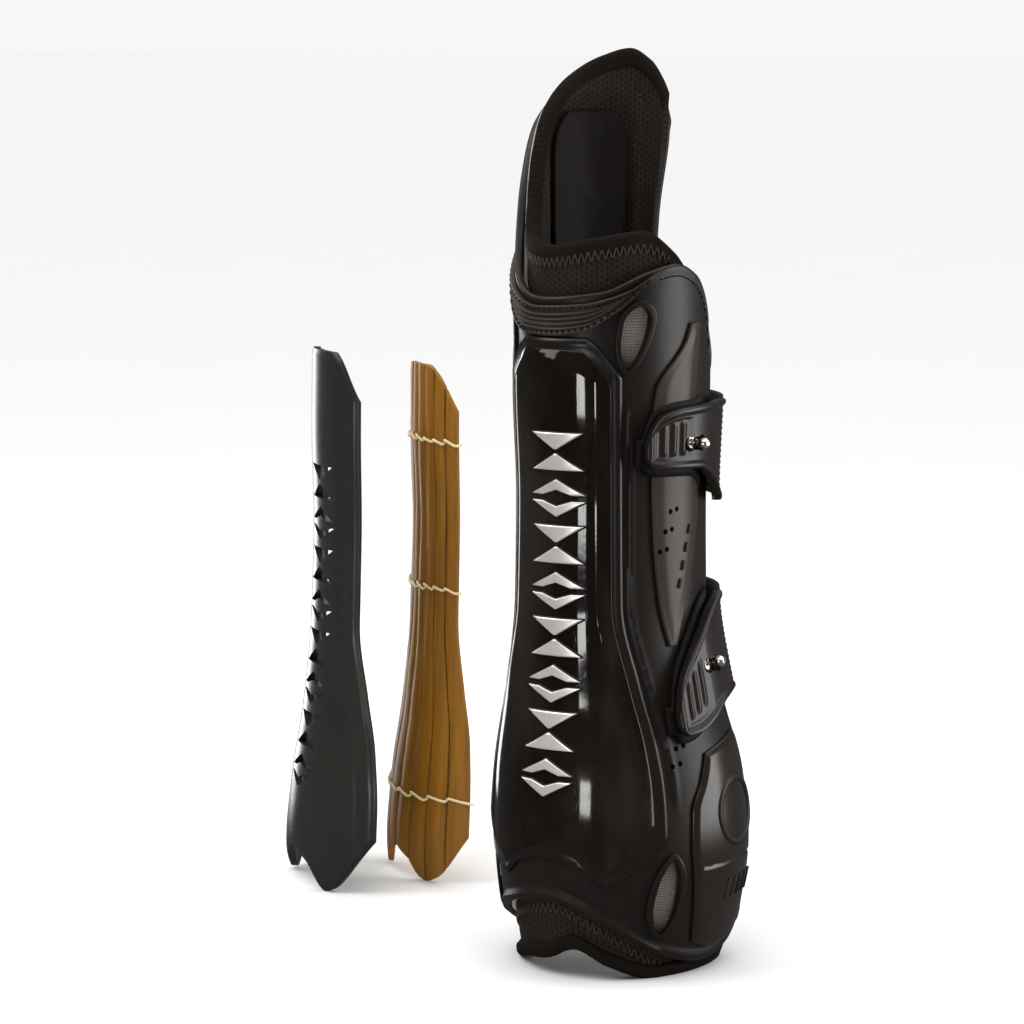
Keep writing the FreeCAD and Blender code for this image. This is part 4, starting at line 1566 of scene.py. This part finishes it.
@dataclass
class Strap:
    """One elastic strap: stud, pad, moulded tab, elastic, anchor and a short piece over each seam."""

    name: str
    strap_body: Body
    tab_body: Body
    stud_angle: float
    stud_height: float
    tip: float
    bottom: Knots
    top: Knots
    low: float
    high: float
    seam_rear: float = 113.0
    seam_front: float = 190.0
    gap: float = 2.0
    offset: float = 3.2
    thickness: float = 1.8
    tab_inner: float = 3.6
    tab_outer: float = 6.2

    def _end(self, angle: float, side: float) -> float:
        """The angle at which a part of the strap stops, half a gap short of a seam."""
        half_x, half_y, _, _ = LEG.section(np.array([(self.low + self.high) / 2]))
        radius = (half_x[0] + half_y[0]) / 2 + self.offset
        return angle + side * math.degrees(self.gap / 2 / radius)

    def _tab_relief(self, spot: Spot) -> np.ndarray:
        """A thick raised rim, a crowned middle and finger ribs near the free end."""
        edge = np.minimum(np.minimum(spot.below, spot.above), spot.left)
        rise = 1.15 * (1 - ramped(edge, 1.5, 3.0)) - 0.25 * (1 - ramped(edge, 0.0, 0.7))
        inside = ramped(edge, 3.2, 4.6)
        for place in (0.17, 0.27, 0.37):
            rise += 0.6 * bead(spot.u, place, 0.026) * inside * (1 - ramped(np.abs(spot.v - 0.5), 0.20, 0.32))
        return rise - 0.35 * inside * (1 - ramped(spot.u, 0.40, 0.52))

    def _holes(self) -> bpy.types.Object:
        """Three holes that run into each other, the first round the stud."""
        axis = LEG.outward(self.stud_angle, self.stud_height)
        along = Vector((0, 0, 1)).cross(axis).normalized()
        middle = Vector(LEG.point(self.stud_angle, self.stud_height, 5.0)[0])
        pins = [pin(middle - along * (shift * MM), axis, radius, 14.0, 28)
                for shift, radius in ((0.0, 2.85), (3.0, 2.45), (6.0, 2.75))]
        pins[0].name = self.name + "_hole_cutter"
        for other in pins[1:]:
            finished(pins[0], "BOOLEAN", operation="UNION", object=other, solver="MANIFOLD")
            bpy.data.objects.remove(other, do_unlink=True)
        return pins[0]

    def _stud(self) -> bpy.types.Object:
        """A turned stud: flange, neck and ball head with a small flat."""
        profile = ((0.0, 0.2), (3.9, 0.2), (4.0, 0.45), (3.8, 0.9), (2.1, 1.05), (1.45, 1.4), (1.4, 2.5),
                   (1.5, 2.9), (1.95, 3.5), (2.18, 4.1), (2.22, 4.8), (2.0, 5.8), (1.45, 6.6), (1.0, 6.85),
                   (0.5, 6.8), (0.0, 6.75))
        shape = np.array(profile)
        stud, flat = fresh_grid(self.name + "_stud_turned", 40, len(profile) - 1)
        turn = (flat[:, 0] + 0.5) * 2 * math.pi
        row = (flat[:, 1] + 0.5) * (len(profile) - 1)
        radius = np.interp(row, np.arange(len(profile)), shape[:, 0])
        rise = np.interp(row, np.arange(len(profile)), shape[:, 1])
        axis = LEG.outward(self.stud_angle, self.stud_height)
        matrix = np.array(axis.to_track_quat("Z", "Y").to_matrix())
        local = np.stack([radius * np.cos(turn), radius * np.sin(turn), rise], 1)
        foot = LEG.point(self.stud_angle, self.stud_height, 2.3)[0]
        moved_to(stud, local @ matrix.T * MM + foot)
        recalculated(stud, 0.002)
        finished(stud, "SUBSURF", levels=1, render_levels=1)
        smoothed(stud, 60.0)
        return stud

    def _band(self, name: str, first: float, last: float, inner: float, outer: float, low: float, high: float,
              ribs: float = 0.16, rib_pitch: float = 2.05) -> bpy.types.Object:
        """A stretch of woven elastic with ribs along it."""
        def woven(spot: Spot) -> np.ndarray:
            """Ribs along the band that fade at its edges."""
            return ribs * np.sin((spot.height - self.low) * 2 * math.pi / rib_pitch) * ramped(spot.edge, 0, 1)

        return Wall(name, first, last, low, high, inner, outer, 48, 110, relief=woven, rim=0.35).build()

    def _box_stitches(self) -> bpy.types.Object:
        """The box of stitches that holds the elastic to its anchor."""
        face = self.offset + self.thickness + 0.12
        a, b, c, d = self.seam_front - 360 + 5.5, INNER_FRONT + 15.0, self.low + 2.5, self.high - 2.5
        corners = ((a, c), (b, c), (b, d), (a, d), (a, c), (b, d))
        ends: tuple[tuple[np.ndarray, np.ndarray], ...] = ()
        for (a0, z0), (a1, z1) in zip(corners, corners[1:]):
            length = math.hypot((a1 - a0) * 0.62, z1 - z0)
            ends += running_stitch(lambda t: (a0 + (a1 - a0) * t, z0 + (z1 - z0) * t, face), length, 2.6)
        return Seam(self.name + "_anchor_stitches", ends, 0.32).build()

    def build(self) -> None:
        """Builds the strap's pieces and a short piece over each of its two seams."""
        low, high = self.low, self.high
        # stud base reaching past the tab's free end and edges; its near-black rim there is partly a real base
        # and partly a painted shadow under the tab
        pad = Wall(self.name + "_stud_base_painted_shadow", self.tip - 3.5, self.stud_angle + 11, lifted(self.bottom, -3.5),
                   lifted(self.top, 2.0), 0.1, 2.4, 60, 60, rim=0.7,
                   relief=lambda spot: -0.5 * (1 - ramped(spot.edge, 0.0, 2.0))).build()
        dressed(pad, PAD, Body.BOOT, [self.name + "_stud_pad"])
        dressed(self._stud(), STUD, Body.BOOT, [self.name + "_stud"])
        tab = Wall(self.name + "_tab_moulded", self.tip, self._end(self.seam_rear, -1), self.bottom, self.top,
                   self.tab_inner, self.tab_outer, 110, 90, relief=self._tab_relief, rim=0.7)
        tab.cutters = [self._holes()]
        dressed(tab.build(), TAB, self.tab_body, [self.name + "_tab"])
        elastic = self._band(self.name + "_elastic_woven", self._end(self.seam_rear, 1),
                             self._end(self.seam_front, -1), self.offset, self.offset + self.thickness, low,
                             high)
        dressed(elastic, ELASTIC, self.strap_body, [self.name + "_elastic"])
        anchor = self._band(self.name + "_anchor_woven", self._end(self.seam_front, 1) - 359.4,
                            INNER_FRONT + 18, 0.1, self.offset + self.thickness, low - 1, high + 1)
        dressed(anchor, ELASTIC, Body.BOOT, [self.name + "_anchor"])
        dressed(self._box_stitches(), THREAD, Body.BOOT)
        self._bend(self.name + "_tab_bend", self.seam_rear, TAB,
                   -1)
        self._bend(self.name + "_anchor_bend", self.seam_front, ELASTIC,
                   -1)

    def _bend(self, name: str, seam: float, finish: Finish,
              side: float) -> None:
        """A short piece over a seam, made with the given finish."""
        piece = Wall(name, seam - 3.4, seam + 3.4, self.low + 0.6, self.high - 0.6, self.offset + 0.45,
                     self.offset + self.thickness - 0.25, 28, 40, rim=0.3,
                     relief=lambda spot: 0.12 * np.sin(spot.height * 3.06)).build()
        piece.data.materials.clear()
        piece.data.materials.append(finish.material())
        middle, offset = (self.low + self.high) / 2, self.offset + self.thickness / 2
        start = LEG.point(seam - side * 1.3, middle, offset)[0]
        end = LEG.point(seam + side * 1.3, middle, offset)[0]
        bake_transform(piece)


def stood_aside(piece: bpy.types.Object, yaw: float, lean: float, place: tuple[float, float],
                drop: float) -> bpy.types.Object:
    """Turns a loose layer about the vertical, leans it and stands it beside the boot, in its mesh.

    Args:
        piece: The layer, still on the leg.
        yaw: How far it is turned, in degrees.
        lean: How far its top leans towards the boot, in degrees.
        place: Where the leg's axis goes, in millimetres from it.
        drop: How much lower it stands.

    Returns:
        The same piece.
    """
    points = coordinates(piece) / MM
    points[:, 0] += LEG.middle[0]
    points[:, 1] += LEG.middle[1]
    turn, tip = math.radians(yaw), math.radians(lean)
    across = points[:, 0] * math.cos(turn) - points[:, 1] * math.sin(turn)
    y = points[:, 0] * math.sin(turn) + points[:, 1] * math.cos(turn) + place[1] - LEG.middle[1]
    up = points[:, 2] - drop
    x = across * math.cos(tip) + up * math.sin(tip) + place[0] - LEG.middle[0]
    z = up * math.cos(tip) - across * math.sin(tip)
    moved = np.stack([x, y, np.maximum(z, 0.02)], 1) * MM
    moved_to(piece, moved)
    return piece


@dataclass
class LooseCore:
    """The moulded core plate on its own, with the marks cut through it."""

    yaw: float = -33.0
    lean: float = 1.9
    place: tuple[float, float] = (-138.0, 60.0)
    drop: float = 30.0
    thickness: float = 3.4
    width: Knots = ((20, 53), (60, 53), (86, 51), (107, 46), (135, 39), (240, 38))
    top: Knots = ((-39, 222), (-37, 223.5), (-22, 239), (-18, 241), (18, 241), (22, 239), (37, 223.5),
                  (39, 222))
    bottom: Knots = ((-54, 53), (-52, 51), (-30, 30.5), (-27, 30), (-14, 40), (0, 44), (14, 40), (27, 30),
                     (30, 30.5), (52, 51), (54, 53))
    motifs: Motifs = Motifs()

    def _relief(self, spot: Spot) -> np.ndarray:
        """A stepped shoulder inside each long edge and a faint spine crease."""
        sides = np.minimum(spot.left, spot.right)
        rise = -0.55 * (1 - ramped(spot.edge, 0.4, 2.2)) - 0.3 * bead(sides, 7.5, 0.8)
        return rise - 0.3 * (1 - ramped(sides, 6.6, 7.6))

    def build(self) -> None:
        """Builds the core."""
        core = Wall("loose_core", tuple((z, -a) for z, a in self.width), self.width, self.bottom, self.top,
                    0.0, self.thickness, 110, 200, relief=self._relief, rim=0.32)
        core.cutters = [self.motifs.ribbons("core_mark_cutter", -6.0, 9.0, 0.0)]
        piece = stood_aside(core.build(), self.yaw, self.lean, self.place, self.drop)
        dressed(piece, CORE, Body.CORE, ["shield_core"])


@dataclass
class Tube:
    """A round cord along a path, with a seamless skin and a map along its length."""

    name: str
    path: np.ndarray
    radius: float
    sides: int = 8

    def build(self) -> bpy.types.Object:
        """Wraps a grid round the path.

        Returns:
            The cord.
        """
        line = self._drawn()
        cord, flat = fresh_grid(self.name, self.sides, len(line) - 1)
        turn = -(flat[:, 0] + 0.5) * 2 * math.pi
        row = np.rint((flat[:, 1] + 0.5) * (len(line) - 1)).astype(int)
        ahead = np.gradient(line, axis=0)
        ahead /= np.linalg.norm(ahead, axis=1, keepdims=True)
        side = np.cross(ahead, np.array([0.0, 0.0, 1.0]))
        side /= np.linalg.norm(side, axis=1, keepdims=True)
        rise = np.cross(side, ahead)
        ring = side[row] * np.cos(turn)[:, None] + rise[row] * np.sin(turn)[:, None]
        moved_to(cord, line[row] + ring * self.radius * MM)
        gone = np.concatenate([[0.0], np.cumsum(np.linalg.norm(np.diff(line, axis=0), axis=1))])
        lay_map(cord, np.stack([(flat[:, 0] + 0.5) * 2 * math.pi * self.radius * MM, gone[row]], 1))
        recalculated(cord, 0.001)
        select_only(cord)
        bpy.ops.object.mode_set(mode="EDIT")
        bpy.ops.mesh.select_all(action="SELECT")
        bpy.ops.mesh.select_non_manifold()
        bpy.ops.mesh.edge_face_add()
        bpy.ops.object.mode_set(mode="OBJECT")
        recalculated(cord)
        smoothed(cord, 70.0)
        return cord

    def _drawn(self) -> np.ndarray:
        """The path as a smooth curve through its points, about half a millimetre apart."""
        knots = np.concatenate([self.path[:1] * 2 - self.path[1:2], self.path,
                                self.path[-1:] * 2 - self.path[-2:-1]])
        found = []
        for a, b, c, d in zip(knots, knots[1:], knots[2:], knots[3:]):
            count = max(2, int(np.linalg.norm(c - b) / (0.7 * MM)))
            for k in range(count):
                t = k / count
                found.append(0.5 * (2 * b + (c - a) * t + (2 * a - 5 * b + 4 * c - d) * t * t
                                    + (3 * b - a - 3 * c + d) * t ** 3))
        return np.array(found + [self.path[-1]])


@dataclass
class BambooLayer:
    """Split bamboo slats side by side, laced together in three rows."""

    yaw: float = -29.0
    lean: float = 1.4
    place: tuple[float, float] = (-116.0, 95.0)
    drop: float = 30.0
    count: int = 8
    thickness: float = 2.2
    gap: float = 0.35
    edge: Knots = ((20, 47), (60, 47), (86, 46), (107, 42), (135, 37), (240, 36))
    top: Knots = ((-36, 217), (-20, 231.5), (-12, 234.5), (12, 234.5), (20, 231.5), (36, 217))
    bottom: Knots = ((-47, 50), (-30, 32), (-23.5, 30), (-10, 38), (0, 41), (10, 38), (23.5, 30), (30, 32),
                     (47, 50))
    lace_heights: tuple[float, ...] = (64.0, 146.0, 205.0)
    lace_radius: float = 0.55

    def _slat(self, k: int) -> bpy.types.Object:
        """One slat, slightly crowned, with the faint steps of its knuckles."""
        low, high = 2 * k / self.count - 1, 2 * (k + 1) / self.count - 1
        first = tuple((z, a * low + self.gap) for z, a in self.edge)
        last = tuple((z, a * high - self.gap) for z, a in self.edge)
        knuckle = 96.0 + 29.0 * math.sin(k * 2.3)

        def crowned(spot: Spot) -> np.ndarray:
            """Rounded across, with a ridge at each knuckle and a hand-split waviness."""
            rise = -0.45 * (2 * spot.u - 1) ** 2 + 0.10 * np.sin(spot.height * 0.13 + k * 1.9)
            rise += 0.16 * bead(spot.height, knuckle, 1.3) + 0.16 * bead(spot.height, knuckle + 92.0, 1.3)
            return rise + 0.05 * np.sin(spot.u * 19.0 + k)

        slat = Wall(f"bamboo_strip_{k + 1}", first, last, self.bottom, self.top, 0.0, self.thickness, 14, 150,
                    relief=crowned, rim=0.3).build()
        return stood_aside(slat, self.yaw, self.lean, self.place, self.drop)

    def _lace(self, row: int, height: float) -> bpy.types.Object:
        """One row of lacing: a slanted stitch over each slat, a dip between them, and frayed ends."""
        reach = height_on(self.edge, height)
        over, into = self.thickness + self.lace_radius - 0.1, self.thickness - 0.75
        places = [(-reach - 1.6, height - 1.6, 0.6)]
        for k in range(self.count):
            start, end = reach * (2 * (k + 0.10) / self.count - 1), reach * (2 * (k + 0.90) / self.count - 1)
            slant = 0.75 + 0.25 * math.sin(k * 1.7 + row)
            drift = 0.35 * math.sin(k * 1.1 + row * 2.0)
            places += [(start, height + slant + drift, over),
                       ((start + end) / 2, height + drift, over + 0.12),
                       (end, height - slant + drift, over)]
            if k + 1 < self.count:
                places.append((reach * (2 * (k + 1) / self.count - 1), height + drift, into))
        places.append((reach + 1.4, height - 0.9, 0.8))
        angle, high, offset = (np.array(column) for column in zip(*places))
        parts = [Tube(f"lacing_cord_{row + 1}", LEG.point(angle, high, offset), self.lace_radius).build()]
        for strand in range(3):
            fan = (strand - 1) * 1.1
            angles = np.array([-reach - 1.2, -reach - 2.4, -reach - 3.6 - strand * 0.4])
            highs = np.array([height - 1.3, height - 1.9 + fan * 0.4, height - 2.3 + fan])
            fray = LEG.point(angles, highs, np.array([1.2, 0.9, 1.6 + fan * 0.3]))
            parts.append(Tube("fray", fray, 0.16, 5).build())
        return stood_aside(joined(f"lacing_cord_{row + 1}", parts), self.yaw, self.lean, self.place,
                           self.drop)

    def build(self) -> None:
        """Builds the slats and their lacing."""
        for k in range(self.count):
            dressed(self._slat(k), BAMBOO, Body.BAMBOO, [f"bamboo_slat_{k + 1}"])
        for row, height in enumerate(self.lace_heights):
            dressed(self._lace(row, height), LACE, Body.BAMBOO, [f"lacing_{row + 1}"])


# ---- studio ---------------------------------------------------------------------------------------------
@dataclass(frozen=True)
class Lamp:
    """A rectangular soft light that faces a point on the object."""

    name: str
    azimuth: float
    elevation: float
    distance: float
    width: float
    height: float
    power: float
    colour: Colour = (1.0, 0.985, 0.96)
    aim: Colour = (0.03, 0.0, 0.16)

    def place(self) -> None:
        """Adds the light."""
        bpy.ops.object.select_all(action="DESELECT")
        turn, rise = math.radians(self.azimuth), math.radians(self.elevation)
        aim = Vector(self.aim)
        back = Vector((math.sin(turn) * math.cos(rise), -math.cos(turn) * math.cos(rise), math.sin(rise)))
        facing = (-back).to_track_quat("-Z", "Y").to_euler()
        bpy.ops.object.light_add(type="AREA", location=aim + back * self.distance, rotation=facing)
        light = bpy.context.view_layer.objects.active
        light.name = self.name
        light.data.shape = "RECTANGLE"
        light.data.size, light.data.size_y = self.width, self.height
        light.data.energy, light.data.color = self.power, self.colour
        light.visible_camera = False


@dataclass
class StudioSet:
    """Pale floor, pale surround, soft lights and the camera."""

    azimuth: float = 35.0
    elevation: float = 8.0
    distance: float = 1.25
    scale: float = 0.36
    surround: float = 0.14
    backdrop: float = 0.93
    lamps: tuple[Lamp, ...] = (
        Lamp("key_softbox", -38.0, 42.0, 1.1, 0.50, 0.50, 5.0),
        Lamp("plate_strip", 16.0, -4.5, 0.80, 0.13, 0.075, 0.8),
        Lamp("wing_softbox", 122.0, 5.0, 0.85, 0.45, 0.60, 5.0),
        Lamp("top_softbox", 20.0, 80.0, 1.3, 1.2, 1.2, 3.0),
        Lamp("core_strip", -112.0, 8.0, 0.75, 0.25, 0.60, 3.0, aim=(-0.075, 0.02, 0.10)),
    )

    def _floor(self) -> None:
        """A large plane, which glossy surfaces do not mirror."""
        bpy.ops.object.select_all(action="DESELECT")
        bpy.ops.mesh.primitive_grid_add(x_subdivisions=24, y_subdivisions=24, size=60.0, location=(0, 0, 0))
        floor = bpy.context.view_layer.objects.active
        floor.name = floor.data.name = "studio_floor"
        floor.data.materials.append(FLOOR.material())
        floor.visible_glossy = False

    def _surround(self) -> None:
        """A world that looks white behind the floor and lights the object as a dim grey room."""
        world = bpy.data.worlds.new("studio_world")
        bpy.context.scene.world = world
        world.use_nodes = True
        nodes, links = world.node_tree.nodes, world.node_tree.links
        room = nodes["Background"]
        room.inputs[0].default_value = (self.surround, self.surround, self.surround * 0.99, 1.0)
        white = nodes.new("ShaderNodeBackground")
        white.inputs[0].default_value = (self.backdrop, self.backdrop, self.backdrop, 1.0)
        path, mix = nodes.new("ShaderNodeLightPath"), nodes.new("ShaderNodeMixShader")
        links.new(path.outputs["Is Camera Ray"], mix.inputs[0])
        links.new(room.outputs[0], mix.inputs[1])
        links.new(white.outputs[0], mix.inputs[2])
        links.new(mix.outputs[0], nodes["World Output"].inputs[0])

    def _daylight(self) -> None:
        """Wide light from above that keeps the whole floor pale."""
        bpy.ops.object.light_add(type="SUN", location=(0, 0, 3), rotation=(0, 0, 0))
        light = bpy.context.view_layer.objects.active
        light.name = "overhead_light"
        light.data.energy, light.data.angle = 3.1, math.radians(100)

    def _camera(self) -> None:
        """The camera, level with the boot's middle and a little above it."""
        bpy.ops.object.camera_add()
        camera = bpy.context.view_layer.objects.active
        camera.name = "studio_camera"
        turn, rise = math.radians(self.azimuth), math.radians(self.elevation)
        back = Vector((math.sin(turn) * math.cos(rise), -math.cos(turn) * math.cos(rise), math.sin(rise)))
        right = Vector((math.cos(turn), math.sin(turn), 0.0))
        axis = Vector((-LEG.middle[0], -LEG.middle[1], 163.0)) * MM
        aim = axis - right * (36.4 * MM)
        camera.location = aim + back * self.distance
        camera.rotation_mode = "QUATERNION"
        camera.rotation_quaternion = (-back).to_track_quat("-Z", "Y")
        camera.data.sensor_width = 36.0
        camera.data.lens = 36.0 * self.distance / (1024 * self.scale * MM)
        camera.data.clip_start, camera.data.clip_end = 0.05, 100.0
        bpy.context.scene.camera = camera

    def build(self) -> None:
        """Builds the set."""
        self._floor()
        self._surround()
        for lamp in self.lamps:
            lamp.place()
        self._daylight()
        self._camera()
        bpy.context.scene.view_settings.view_transform = "Standard"


STRAPS = (
    Strap("upper", Body.UPPER_STRAP, Body.UPPER_TAB, 88.0, 191.0, 54.0,
          ((54, 187), (57, 184), (63, 183), (88, 182), (98, 178), (112, 168)),
          ((54, 191), (57, 197), (63, 202), (74, 204), (112, 205)), 168.0, 205.0),
    Strap("lower", Body.LOWER_STRAP, Body.LOWER_TAB, 97.0, 111.0, 66.0,
          ((66, 92), (69, 88.5), (75, 89), (86, 92.5), (98, 98), (112, 101)),
          ((66, 96), (69, 105), (76, 114), (88, 124), (98, 131), (112, 136)), 99.0, 136.0),
)


def main() -> None:
    """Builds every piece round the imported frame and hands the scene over."""
    logging.basicConfig(level=logging.INFO, format="%(name)s: %(message)s")
    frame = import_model()
    LOG.info("frame loaded, %d nodes", len(frame["nodes"]))
    bpy.ops.object.select_all(action="DESELECT")
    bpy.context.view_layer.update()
    StudioSet().build()
    frame["nodes"]["shock_foam"].data.materials.clear()
    frame["nodes"]["shock_foam"].data.materials.append(FOAM.material())
    Shell().build()
    FlexBand().build()
    SoftLayers().build()
    TendonPlate().build()
    Wings().build()
    for strap in STRAPS:
        strap.build()
    LooseCore().build()
    BambooLayer().build()
    bpy.ops.object.select_all(action="DESELECT")


if __name__ == "__main__":
    main()
